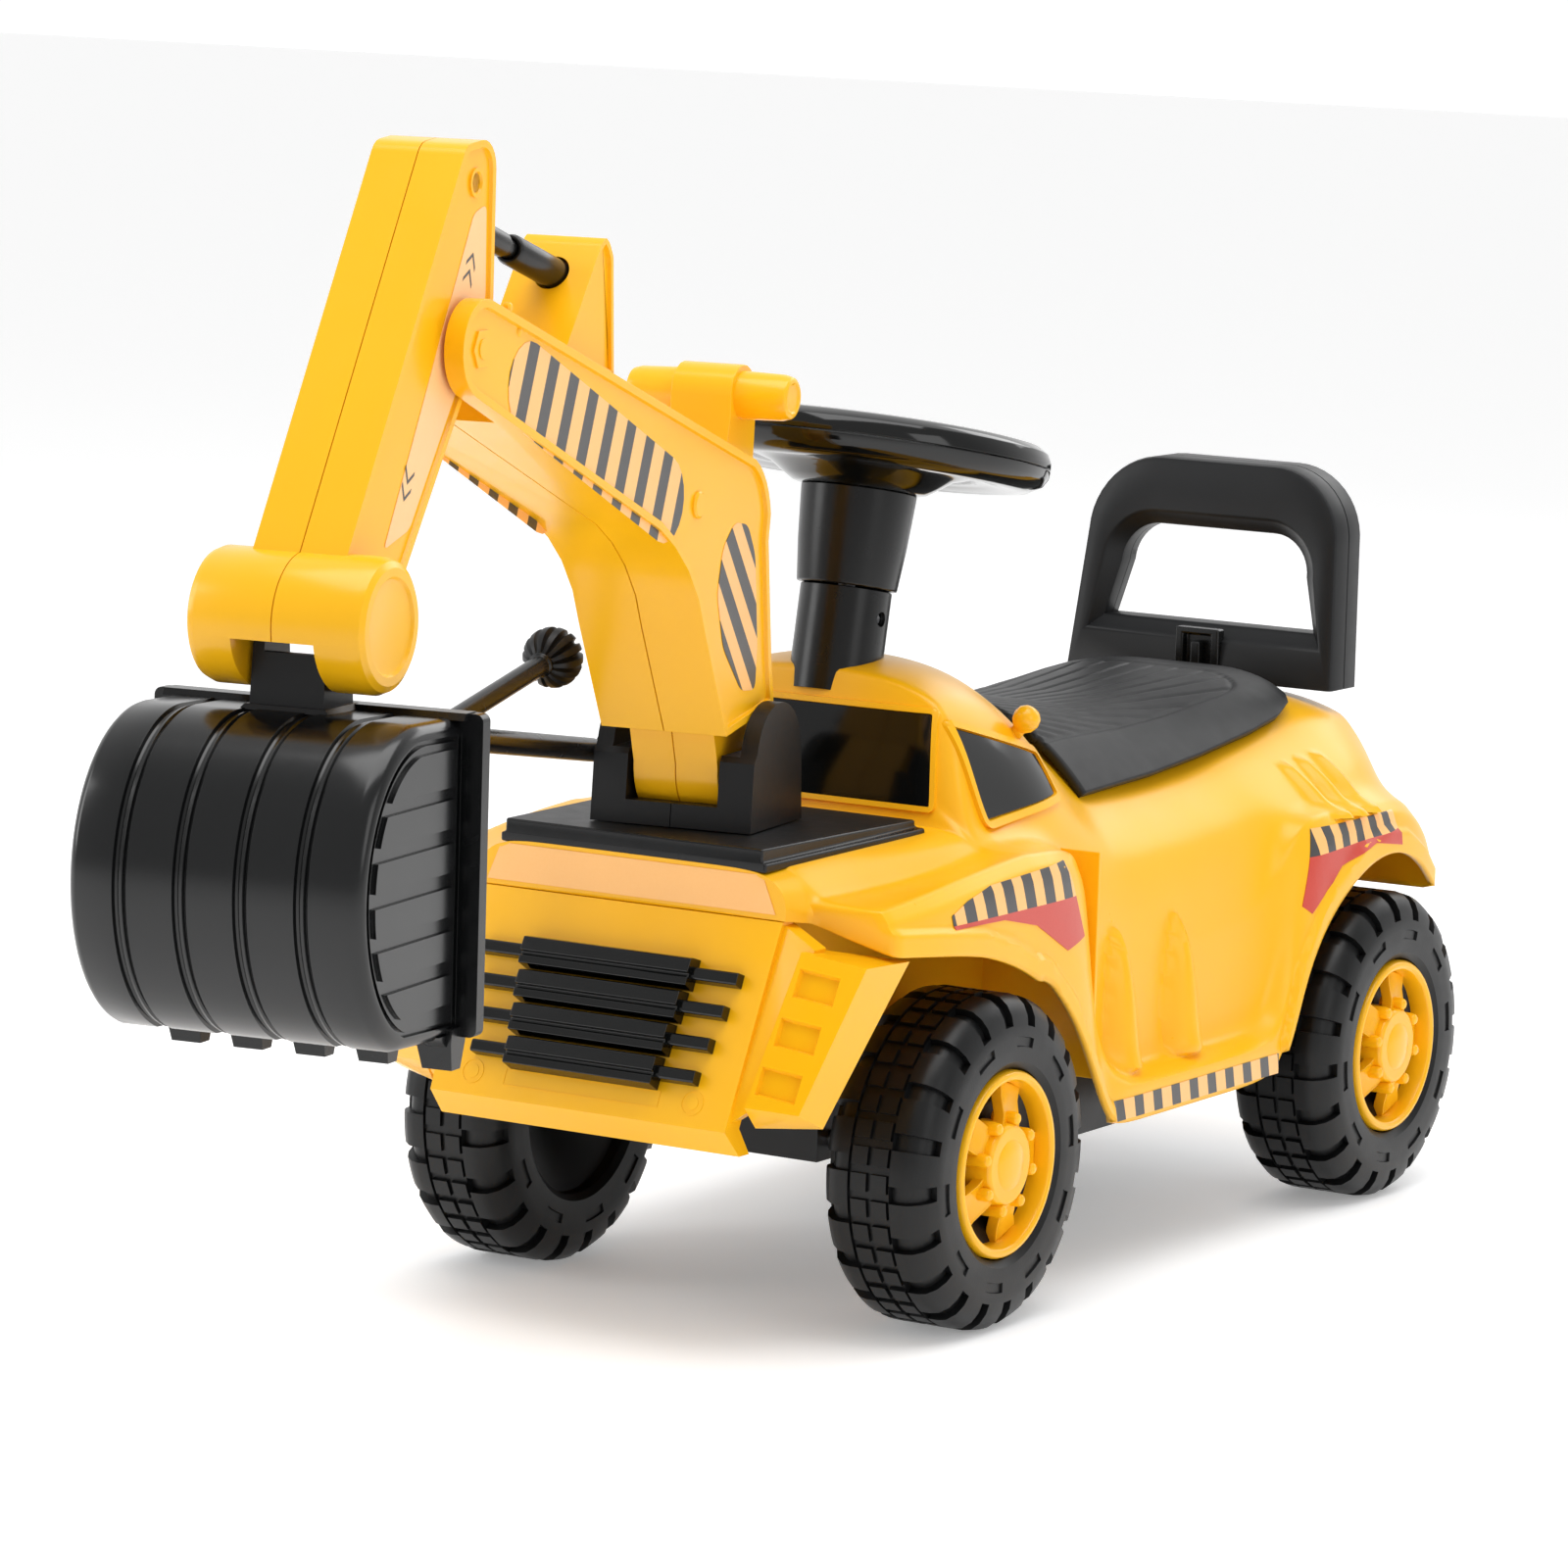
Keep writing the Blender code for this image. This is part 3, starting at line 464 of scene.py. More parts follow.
# %% Body sections
# Each row: y, then x and z of ten points: ridge, top, shoulder, flank, shelf root, shelf, fender edge,
# fender side, ledge, lower edge.
BODY_ROWS = tuple((row[0], *zip(row[1::2], row[2::2])) for row in (
    (-311, 0, 210, 45, 210, 68, 209.5, 77, 203, 79, 199, 79.5, 197, 80, 195, 80, 193, 80, 191, 80, 189),
    (-297, 0, 211, 45, 211, 69, 210.5, 80, 203, 82, 198, 83, 196, 84, 194, 85, 192, 85, 190, 85, 187),
    (-293, 0, 211, 45, 211, 69, 211, 81, 203, 85, 198, 90, 196.5, 117, 195, 121, 190, 122, 184, 122, 176),
    (-260, 0, 212, 45, 212, 70, 212, 83, 205, 88, 198, 94, 197, 120, 199, 126, 193, 127, 184, 127, 173),
    (-225, 0, 212.5, 45, 212.5, 72, 212.5, 86, 208, 92, 200, 98, 199, 121, 203.5, 127, 197, 128, 184, 128,
     169),
    (-195, 0, 213, 45, 213, 74, 213, 89, 210, 95, 204, 100, 203, 121, 206, 127, 199, 128, 180, 128, 160),
    (-176, 0, 214, 45, 214, 74, 214, 88, 212, 95, 206, 100, 205, 121, 207, 127, 200, 128, 176, 128, 151),
    (-172.5, 0, 228, 45, 228, 67, 227, 82, 218, 92, 209, 100, 206, 121, 207, 127, 200, 128, 176, 128, 151),
    (-165, 0, 266, 45, 265, 65, 259, 77, 244, 88, 213, 99, 207, 121, 206.5, 127, 200, 128, 174, 128, 148.5),
    (-161, 0, 280, 44, 277, 64, 268, 77, 250, 88, 214, 99, 207, 121, 206.5, 127, 200, 128, 172, 128, 145.5),
    (-140, 0, 285, 44, 281, 66, 268, 78, 250, 90, 214, 100, 206, 120, 205.5, 126, 198, 128, 160, 128, 128.5),
    (-118, 0, 284, 44, 279, 68, 262, 81, 242, 95, 210, 102, 202, 115, 199, 121, 188, 127, 136, 128, 95),
    (-104, 0, 281, 44, 273, 69, 256, 83, 236, 98, 204, 103, 194, 109, 184, 114, 150, 121, 102, 128, 76),
    (-90, 0, 276, 44, 266, 71, 246, 85, 226, 99, 199, 104, 182, 108, 152, 111, 98, 127.5, 90, 128, 73),
    (-62, 0, 262, 46, 247, 72, 223, 85, 208, 99, 190, 104, 174, 107, 142, 110, 94, 127.5, 89, 128, 73),
    (-46, 0, 250, 46, 236, 71, 213.5, 84, 204, 99, 189, 104, 173, 107, 141, 110, 94, 127.5, 89, 128, 73),
    (0, 0, 241, 46, 233, 71, 213, 85, 204, 100, 190, 105, 174, 108, 142, 111, 94, 127.5, 89, 128, 73),
    (45, 0, 239, 46, 233, 71, 215, 86, 207, 102, 193, 106, 178, 110, 145, 113, 95, 127.5, 89, 128, 73),
    (66, 0, 239, 46, 234, 71, 217, 87, 209, 103, 195, 107, 182, 112, 152, 116, 104, 127.5, 94, 128, 78),
    (80, 0, 239.5, 46, 235, 71, 219, 88, 210.5, 104, 197, 108, 188, 117, 174, 122, 150, 126, 126, 128, 112),
    (92, 0, 240, 46, 236, 71, 221, 88, 212, 104, 199, 109, 194, 121, 191, 126, 174, 128, 150, 128, 131),
    (110, 0, 240, 46, 237, 71, 223, 88, 214, 104, 201, 109, 196, 122, 193.5, 127, 186, 128, 168, 128, 149),
    (140, 0, 241, 46, 238.5, 71, 227, 88, 217, 105, 204, 110, 197, 122, 193, 127, 188, 128, 178, 128, 165),
    (165, 0, 241, 46, 239, 71, 230, 89, 219, 105, 207, 110, 198, 122, 193, 127, 188, 128, 181, 128, 170),
    (188, 0, 239, 46, 239, 74, 231, 89, 220, 103, 208, 108, 198, 121, 192, 127, 187, 128, 179, 128, 167),
    (208, 0, 238, 46, 237, 74, 229, 87, 218, 98, 206, 103, 195, 117, 188, 125, 180, 127, 170, 127, 157),
    (226, 0, 236, 46, 235, 72, 226, 81, 216, 88, 204, 95, 191, 111, 180, 120, 170, 124, 158, 124, 144),
))
CREASED_ROWS = {0: 1.0, 1: 0.9, 2: 0.9, 6: 0.8, 7: 0.8, 9: 0.5, 15: 0.2, 26: 0.7}
CREASED_LINES = {2: 0.35, 6: 0.75, 7: 0.35, 8: 0.7}


def ring_points(row):
    y, half = row[0], row[1:]
    return [(-x, y, z) for x, z in reversed(half)] + [(x, y, z) for x, z in half[1:]]


body_mesh = bmesh.new()
crease = body_mesh.edges.layers.float.new("crease_edge")
body_rows = []
for row in BODY_ROWS:
    verts = [body_mesh.verts.new(p) for p in ring_points(row)]
    body_rows.append([body_mesh.edges.new(pair) for pair in zip(verts, verts[1:])])
for first, second in zip(body_rows, body_rows[1:]):
    bmesh.ops.bridge_loops(body_mesh, edges=first + second)
for index, weight in CREASED_ROWS.items():
    for edge in body_rows[index]:
        edge[crease] = weight
for edge in body_mesh.edges:
    a, b = edge.verts
    if abs(a.co.y - b.co.y) > 0.1 and edge[crease] == 0:
        for line, weight in CREASED_LINES.items():
            spots = {(round(r[line + 1][0], 2), round(r[0], 2)) for r in BODY_ROWS[2:]}
            if all((round(abs(v.co.x), 2), round(v.co.y, 2)) in spots for v in (a, b)):
                edge[crease] = weight
for row in (body_rows[0], body_rows[-1]):
    bmesh.ops.contextual_create(body_mesh, geom=row)
print("body cage:", len(body_mesh.verts), "points")

# %% [markdown]
# The fine shapes on the flanks come next: two pointed bulges on each side, three finger-wide scoops above
# each rear fender, and a rounded lip round the wheel arches. On a fine surface each is a smooth push along x,
# so its size and softness are plain numbers.

# %% Relief on the flanks
def ease(t):
    t = min(1.0, max(0.0, t))
    return t * t * (3 - 2 * t)


def pointed_arch(y, z, middle, top, bottom, half_width):
    """1 on the ridge of a pointed arch, falling to 0 at its outline like a half-round."""
    share = (z - bottom) / (top - bottom)
    if not -0.1 < share < 1:
        return 0.0
    width = half_width * (1 - max(0.0, share) ** 2) ** 0.75
    across = abs(y - middle) / max(width, 0.01)
    return math.cos(math.pi / 2 * across) * (width / half_width) ** 0.6 if across < 1 else 0.0


LIP_DEPTH, LIP_HEIGHT = 3.2, 11


def lower_edge(y):
    for low, high in zip(BODY_ROWS, BODY_ROWS[1:]):
        if low[0] <= y <= high[0]:
            share = (y - low[0]) / (high[0] - low[0])
            return low[10][1] * (1 - share) + high[10][1] * share
    return BODY_ROWS[0][10][1] if y < BODY_ROWS[0][0] else BODY_ROWS[-1][10][1]


def flank_relief(x, y, z):
    """How far a point on the flank stands out, in millimetres."""
    push_out = 0.0
    if x > 95 and z > 60:
        for middle, top in ((-65, 160), (-8, 160)):
            push_out += 11 * pointed_arch(y, z, middle, top, 92, 15) * ease((z - 91) / 5)
    if x > 92 and z > 190:
        for index in range(3):
            push_out -= 6.5 * pointed_arch(y, z, 126 + 15 * index, 222, 191, 6)
    above = z - lower_edge(y)
    in_arch = -296 < y < -100 or 66 < y < 232
    if x > 108 and in_arch and above < LIP_HEIGHT + 4:
        push_out += LIP_DEPTH * ease((LIP_HEIGHT + 2 - above) / 4) * ease((y + 296) / 6)
    return push_out


shell = bpy.data.objects.new("shell", bpy.data.meshes.new("shell"))
body_mesh.to_mesh(shell.data)
body_mesh.free()
bpy.context.collection.objects.link(shell)
faired = shell.modifiers.new("faired", "SUBSURF")
faired.levels = faired.render_levels = 3
settle(shell)
fine = bmesh.new()
fine.from_mesh(shell.data)
bpy.data.objects.remove(shell)
for shortest in (4.5, 3.4):
    long_edges = [e for e in fine.edges if e.calc_length() > shortest and abs(e.verts[0].co.x) > 90]
    bmesh.ops.subdivide_edges(fine, edges=long_edges, cuts=1, use_grid_fill=True)
for vert in fine.verts:
    x, y, z = vert.co
    vert.co.x += math.copysign(flank_relief(abs(x), y, z), x)
print("fine body:", len(fine.faces), "faces")

# %% [markdown]
# The shell is open underneath and a wall of three millimetres grows inwards. A copy of its outer surface is
# kept as a search tree, so that windows and stickers can be dropped onto it later.

# %% Body shell
WALL = 3
STEER_TOP = Vector((0, -124.2, 375.5))
STEER_UP = Vector((0, math.sin(math.radians(11)), math.cos(math.radians(11))))
body_surface = fine.copy()
bmesh.ops.triangulate(body_surface, faces=body_surface.faces)
BODY_TREE = BVHTree.FromBMesh(body_surface)
body_shell = finish_piece(fine, "body_shell_yellow", BLOWN_YELLOW, "chassis", stands_for=["body_shell"],
                          angle=40)
thick = body_shell.modifiers.new("wall", "SOLIDIFY")
thick.thickness = WALL * MM
thick.offset = -1
print("body:", len(body_shell.data.polygons), "faces")

# %% [markdown]
# ## Wheels
# Each wheel is a hollow black tyre with blocks moulded into its tread and a yellow cap with five spokes. The
# tyre is a profile turned round its axle in many steps. Faces that fall in a gap between blocks are inset and
# sunk, so one rule by angle draws the shoulder blocks, the zigzag middle and the slots on the side wall.

# %% Tyre
TYRE_STEPS = 120
BLOCK = 6


def sink(bm, faces, depth, rim=0.25):
    if faces:
        bmesh.ops.inset_region(bm, faces=faces, thickness=rim, depth=-depth, use_even_offset=True)


def make_tyre():
    side = [(42.4, 20), (43, 25), (46, 27.4), (50, 27.8), (52.5, 27.8), (57, 27.8), (60.5, 27.6), (62, 27.2),
            (66.5, 26.2), (71, 23.6), (74.2, 19.5), (75, 15.5), (75, 10.5), (75, 9), (75, 1.2)]
    profile = side + [(radius, -along) for radius, along in reversed(side)]
    profile += [(8, -6), (8, 6)]
    bm = turned(profile, TYRE_STEPS, closed=True)
    bands = {"shoulder": [], "inner": [], "middle": [], "slots": []}
    for face in bm.faces:
        centre = face.calc_center_median()
        radius = math.hypot(centre.y, centre.z)
        step = int(math.degrees(math.atan2(centre.z, centre.y)) % 360 / 360 * TYRE_STEPS)
        along = abs(centre.x)
        mirror_shift = 0 if centre.x > 0 else 3
        if radius > 62.2 and 10.5 < along < 27.2 and (step + mirror_shift) % BLOCK < 2:
            bands["shoulder"].append(face)
        if radius > 74 and 1.2 < along < 9 and (step + mirror_shift) % BLOCK in (1, 4):
            bands["inner"].append(face)
        if radius > 74 and (9 < along < 10.5 or along < 1.2):
            bands["middle"].append(face)
        if 52.5 < radius < 57 and along > 27.5 and step % 12 < 5:
            bands["slots"].append(face)
    sink(bm, bands["shoulder"], 3.2)
    sink(bm, [f for f in bands["inner"] + bands["middle"] if f.is_valid], 1.6)
    sink(bm, [f for f in bands["slots"] if f.is_valid], 1.0)
    return bm


# %% [markdown]
# The cap is turned too: a rolled rim and a hub, joined by five wide spokes that slope from the hub down to
# the rim. A big dome stands on the hub with eight small studs round it.

# %% Spoked cap
SPOKES, STUDS = 5, 8


def make_cap():
    bm = turned([(36.2, 12), (42, 12), (42, 25.5), (41, 27.4), (39.2, 27.8), (37.6, 26.8), (36.4, 23),
                 (36.2, 20)],
                80, closed=True)
    merge_in(bm, turned([(0, 12), (19, 12), (19, 22), (18.2, 27), (17, 28.2), (0, 28.2)], 64))
    for index in range(SPOKES):
        middle = 360 / SPOKES * index
        rows = []
        for radius, spread, outer in ((17, 27, 25.4), (22, 19.5, 24.6), (30, 15, 21.6), (36.6, 14, 20.6)):
            row = []
            for turn, drop in ((-spread, 6), (-spread, 0), (-spread * 0.8, 0.9), (spread * 0.8, 0.9),
                               (spread, 0), (spread, 6)):
                angle = math.radians(middle + turn)
                row.append((outer - drop, radius * math.cos(angle), radius * math.sin(angle)))
            rows.append(row)
        merge_in(bm, skin(rows))
    for index in range(STUDS):
        turn = math.radians(360 / STUDS * (index + 0.7))
        stud = turned([(0, 29.4), (1.6, 29.2), (2.7, 28.2), (3.1, 26), (3.1, 16), (0, 16)], 20)
        bmesh.ops.translate(stud, verts=stud.verts, vec=(0, 20.6 * math.cos(turn), 20.6 * math.sin(turn)))
        merge_in(bm, stud)
    return bm


def make_dome():
    return turned([(0, 30), (5, 29.8), (10, 28.9), (13.4, 27.2), (14.6, 25.4), (14.6, 24), (0, 24)], 48)


for place, side in (("front_left", -1), ("front_right", 1), ("rear_left", -1), ("rear_right", 1)):
    spin = JOINTS["spin_" + place]["pos_m"]
    here = Matrix.Translation(spin) @ Matrix.Rotation(0 if side > 0 else math.pi, 4, "Z") @ Matrix.Scale(MM,
                                                                                                         4)
    wheel = "wheel_" + place
    finish_piece(make_tyre(), "tread_" + place, TYRE_BLACK, wheel, here, ["tyre_" + place],
                 angle=28, outward=False)
    finish_piece(make_cap(), "spoked_cap_" + place, MOULDED_YELLOW, wheel, here, ["rim_" + place], edge=0.7,
                 segments=2)
    finish_piece(make_dome(), "hub_dome_" + place, MOULDED_YELLOW, wheel, here, ["hub_cap_" + place])

# %% [markdown]
# ## The digging arm
# Boom, stick and bucket are drawn in side view in the arm's frame. The boom and the stick are each two
# injection-moulded halves that meet in the middle: a plate with a raised rim round its outer face, and a
# hair-line seam where the halves touch.

# %% Arm sizes
BOOM_PIN, STICK_PIN, BUCKET_PIN = (3, 246), (-287, 447), (-382, 346)
BOOM_HALF, STICK_HALF = 30, 20.5
SEAM = 0.25
BOOM_OUTLINE = (
    arc(*STICK_PIN, 20, 72, 250, 14)
    + [(-112, 360), (-96, 351), (-82, 340), (-70, 326), (-62, 310), (-36, 263), (15, 271.5), (11, 292),
       (4, 345)]
    + arc(-28, 352, 34, 8, 62, 6)
)
STICK_OUTLINE = (
    arc(-273, 517, 12, 95, 0, 6) + [(-261, 464), (-268, 452), (-335, 362), (-352, 352), (-390, 366)]
    + arc(-283, 519, 9, 150, 95, 3)
)


def rimmed_plate(outline, side, half, rim, depth, start=SEAM, round_corners=0.0):
    """One half of a moulded arm: a plate with a rim standing round its outer face."""
    bm = plate(outline, side * start, side * half, round_corners)
    outer = [f for f in bm.faces if f.normal.x * side > 0.9]
    bmesh.ops.inset_region(bm, faces=outer, thickness=rim, use_even_offset=True)
    outer = [f for f in bm.faces if f.normal.x * side > 0.9 and f.calc_area() > 1000]
    bmesh.ops.inset_region(bm, faces=outer, thickness=0.5, depth=-depth, use_even_offset=True)
    return bm


# %% Boom halves
TONGUE = [(12, 277), (-30, 269)] + arc(*BOOM_PIN, 25.6, 178, 352, 20)
for side, name in SIDES:
    half = rimmed_plate(BOOM_OUTLINE, side, BOOM_HALF, 3.4, 1.8)
    low, high = sorted((side * -1, side * (STICK_HALF + 0.9)))
    notch = plate(arc(*STICK_PIN, 60, 110, 290, 12) + [(-258, 420), (-258, 500)], low, high)
    half = carve(half, notch)
    half = carve(half, plate(TONGUE, side * SEAM, side * 20.2), "UNION")
    for centre, radius, height in (((-70, 367), 6, 1.6), ((-252, 452), 2.2, 1.0), ((-262, 462), 2.2, 1.0)):
        boss = turned([(0, height), (radius - 1, height), (radius, height - 0.8), (radius, -2), (0, -2)], 28)
        aim(boss, (side * (BOOM_HALF - 1.8), *centre), (side, 0, 0))
        merge_in(half, boss)
    socket = plate(arc(*STICK_PIN, 8.5, 0, 300, 5), side * (BOOM_HALF - 2.4), side * (BOOM_HALF - 0.8))
    pin_head = plate(arc(*STICK_PIN, 4.2, 0, 345, 23), side * (BOOM_HALF - 1), side * (BOOM_HALF - 0.2))
    merge_in(half, socket)
    merge_in(half, pin_head)
    finish_piece(half, f"boom_shell_{name}", MOULDED_YELLOW, "boom", ARM, [f"boom_{name}"], edge=1.4)
print("boom made")

# %% [markdown]
# The stick is a long box with a round boss across its foot. The boss is turned about the bucket's pin, with a
# sunk disc on each end, and a slot in its underside lets the bucket's hinge block in.

# %% Stick halves
for side, name in SIDES:
    half = rimmed_plate(STICK_OUTLINE, side, STICK_HALF, 3.0, 1.4)
    drum = turned([(0, SEAM), (27, SEAM), (27, 33.5), (25.5, 37), (23, 38.5), (19.5, 38.5), (18.5, 37.3),
                   (17.5, 37),
                   (0, 37)], 64)
    aim(drum, (0, *BUCKET_PIN), (side, 0, 0))
    half = carve(half, drum, "UNION")
    hollow = turned([(0, -1), (20.5, -1), (20.5, 18), (0, 18)], 48)
    half = carve(half, aim(hollow, (0, *BUCKET_PIN), (side, 0, 0)))
    y, z = BUCKET_PIN
    slot_box = box((min(0, side * 18) - (side > 0), y - 34, z - 42),
                   (max(0, side * 18) + (side < 0), y + 34, z - 6))
    half = carve(half, slot_box)
    ring = turned([(6, -0.6), (6, 1), (4.6, 1), (4, 0), (0, 0), (0, -0.6)], 28)
    merge_in(half, aim(ring, (side * (STICK_HALF - 1.4), -277, 512), (side, 0, 0)))
    finish_piece(half, f"stick_shell_{name}", MOULDED_YELLOW, "stick", ARM, [f"stick_{name}"], edge=1.4)
print("stick made")

# %% [markdown]
# ## Handle, bracket and ram
# A T-handle with stepped grips stands on the boom's elbow, and a hollow bracket further out holds the black
# ram that runs to the stick.

# %% T-handle and ram bracket
clear_of_boom = plate([(y, z + 0.4) for y, z in BOOM_OUTLINE], -60, 60)
post = plate([(-12, 379), (-5, 362), (4, 340), (18, 346), (21, 395), (20.5, 408)] + arc(7, 408, 13.5, 0, 180,
                                                                                        10)
             + [(-6.5, 400)], -14.5, 14.5)
post = carve(post, clear_of_boom.copy())
for side, name in SIDES:
    grip = turned([(0, 12), (10.8, 12), (10.2, 34), (9.2, 37.8), (7.8, 38.6), (6.6, 38.6), (6, 37.8),
                   (0, 37.8)], 40)
    merge_in(post, aim(grip, (0, 7, 408), (side, 0, 0)))
finish_piece(post, "boom_handle", MOULDED_YELLOW, "boom", ARM, ["t_handle"], edge=1.2)
bracket = plate([(-186, 440), (-153, 482), (-149, 484.5), (-145, 482), (-141, 476), (-137.5, 425)], -18, 18,
                1.5)
bracket = carve(bracket, clear_of_boom)
side_faces = [f for f in bracket.faces if abs(f.normal.x) > 0.9 and f.calc_area() > 300]
bmesh.ops.inset_individual(bracket, faces=side_faces, thickness=2.4, depth=0)
side_faces = [f for f in bracket.faces if abs(f.normal.x) > 0.9 and f.calc_area() > 300]
bmesh.ops.inset_individual(bracket, faces=side_faces, thickness=0.5, depth=-1.6)
ram_foot, ram_top = Vector((0, -158, 468.1)), Vector((0, -258.5, 496.5))
along_ram = (ram_top - ram_foot).normalized()
bore = aim(turned([(0, -14), (7.6, -14), (7.6, 40), (0, 40)], 32), ram_foot, along_ram)
bracket = carve(bracket, bore)
finish_piece(bracket, "boom_ram_bracket", MOULDED_YELLOW, "boom", ARM, ["ram_bracket"], edge=1.0)

# %% Ram
sleeve = turned([(0, 0), (6, 0), (6.6, 1), (6.6, 47), (5.8, 49), (4.5, 49), (4.3, 40), (0, 40)], 36)
finish_piece(aim(sleeve, ram_foot, along_ram), "ram_tube", SMOOTH_BLACK, "sleeve", ARM, ["ram_sleeve"],
             edge=0.4)
rod_part = turned([(0, 22), (3.9, 22), (3.9, 56), (5.3, 57), (5.3, 97), (4.4, 99), (0, 99)], 36)
finish_piece(aim(rod_part, ram_foot, along_ram), "ram_piston", SMOOTH_BLACK, "rod", ARM, ["ram_rod"],
             edge=0.3)
print("handle, bracket and ram made")

# %% [markdown]
# ## Front panel
# The panel closes the front: a leaning face with a chin, and a wing on each side that covers the tyre's
# front. It is drawn as a stack of rectangles. Each wing is the hull of its corner points, and three pockets
# with sloping walls are cut into it.

# %% Front panel and wings
def hull(points):
    bm = bmesh.new()
    verts = [bm.verts.new(p) for p in points]
    bmesh.ops.convex_hull(bm, input=verts)
    loose = [v for v in bm.verts if not v.link_faces]
    bmesh.ops.delete(bm, geom=loose, context="VERTS")
    bmesh.ops.dissolve_limit(bm, angle_limit=math.radians(2), verts=bm.verts, edges=bm.edges)
    return bm


def slab(rows):
    """A skin through rectangles: each row is z, half width, front y and rear y."""
    return skin([[(-w, front, z), (w, front, z), (w, rear, z), (-w, rear, z)] for z, w, front, rear in rows])


def pocket(centre, across, up, half_across, half_up, depth):
    """A pocket with sloping walls, open along the cross product of across and up."""
    across, up = Vector(across).normalized(), Vector(up).normalized()
    out = across.cross(up).normalized()
    up = out.cross(across)
    loops = []
    for height, grow in ((6, 3.0), (0, 1.0), (-depth, 0.0)):
        corners = ((-1, -1), (1, -1), (1, 1), (-1, 1))
        loops.append([Vector(centre) + across * (a * (half_across + grow)) + up * (b * (half_up + grow)) +
                      out * height for a, b in corners])
    return skin(loops)


WING_TOP_IN, WING_TOP_OUT = Vector((94, -320, 178.5)), Vector((124, -315, 174))
WING_LOW_IN, WING_LOW_OUT = Vector((83, -345, 113)), Vector((108, -341, 112))
panel = slab([(188.6, 79, -311.5, -303), (102, 76.5, -349.8, -338), (90, 77.5, -339, -331)])
wing = hull([WING_TOP_IN, WING_TOP_OUT, WING_LOW_IN, WING_LOW_OUT, (125, -281, 173), (110, -324, 104),
             (84, -337, 103), (92, -300, 177), (80, -326, 103)])
web = hull([(77, -309, 188), (98, -315.5, 179), (85, -341.5, 112), (73, -347, 103), (77, -301, 188),
            (98, -306, 179), (85, -332, 112), (73, -338, 103)])
wing = carve(wing, web, "UNION")
for share in (0.17, 0.49, 0.81):
    low = WING_LOW_IN.lerp(WING_LOW_OUT, 0.44)
    high = WING_TOP_IN.lerp(WING_TOP_OUT, 0.40)
    across = WING_TOP_OUT - WING_TOP_IN
    wing = carve(wing, pocket(low.lerp(high, share), across, high - low, 8.4, 5.4, 2.6))
other_wing = mirrored(wing.copy())
panel = carve(panel, wing, "UNION")
panel = carve(panel, other_wing, "UNION")
finish_piece(panel, "front_cover", MOULDED_YELLOW, "chassis", stands_for=["front_panel"], edge=1.5)

# %% Marks on the panel and the grille
PANEL_LEAN = math.atan2(38.3, 86.6)
PANEL = TOY @ Matrix.Translation((0, -332, 142)) @ Matrix.Rotation(-PANEL_LEAN, 4, "X")
marks = bmesh.new()
for side, _ in SIDES:
    merge_in(marks, aim(turned([(5.6, 0), (5.6, 0.35), (5.0, 0.35), (5.0, 0)], 40, closed=True),
                        (side * 57, 0, -33), (0, -1, 0)))
    merge_in(marks, aim(turned([(0, 0), (3.1, 0), (3.1, 0.3), (0, 0.3)], 32), (side * 57, 0, -33),
                        (0, -1, 0)))
box((-40, -0.3, -30.2), (40, 0.2, -29.8), marks)
box((-40, -0.3, -37.2), (40, 0.2, -36.8), marks)
box((-40.2, -0.3, -37.2), (-39.8, 0.2, -29.8), marks)
box((39.8, -0.3, -37.2), (40.2, 0.2, -29.8), marks)
finish_piece(marks, "panel_marks", MOULDED_YELLOW, "chassis", PANEL)

grille = bmesh.new()
for index in range(4):
    middle, reach = 22.5 - 15 * index, 43.5 - 1.7 * index
    slat = [(0.4, middle + 7.3), (-6.4, middle + 6.4), (-8.4, middle + 5.6), (-8.9, middle - 0.4),
            (-7.2, middle - 1.0), (-7.2, middle - 2.2), (-8.2, middle - 2.8), (-8.0, middle - 6.2),
            (0.4, middle - 7.3)]
    plate(slat, -reach, reach, bm=grille)
    bar = [(0.4, middle + 3.2), (-5.2, middle + 2.8), (-5.8, middle + 2.0), (-5.8, middle - 2.0),
           (-5.2, middle - 2.8), (0.4, middle - 3.2)]
    plate(bar, -67 + 3 * index, 67 - 3 * index, bm=grille)
finish_piece(grille, "grille_slats", POLISHED_BLACK, "chassis", PANEL, ["grille"], edge=0.45)

# %% [markdown]
# ## Plinth and turret
# The plinth is a stepped black plate with a coarse grain on top and polished edges. The turret stands on it
# in two halves with a seam in front, two cheeks, and a round-topped flat on each flank.

# %% Plinth
def plinth_loop(front, rear, y0, y1, z_front, z_rear):
    return [(-front, y0, z_front), (front, y0, z_front), (rear, y1, z_rear), (-rear, y1, z_rear)]


plinth = skin([
    plinth_loop(69, 75, -310.6, -186, 208.5, 212), plinth_loop(69, 75, -310.6, -186, 212.6, 215.2),
    plinth_loop(66.8, 71.5, -310.4, -189, 213, 215.6), plinth_loop(66.8, 71.5, -310.2, -189, 219, 219),
])
for face in plinth.faces:
    face.material_index = 1 if face.normal.z > 0.9 and face.calc_center_median().z > 218 else 0
finish_piece(plinth, "bonnet_plinth", (SMOOTH_BLACK, GRAINY_BLACK), "chassis", stands_for=["hood_plinth"],
             edge=1.1)

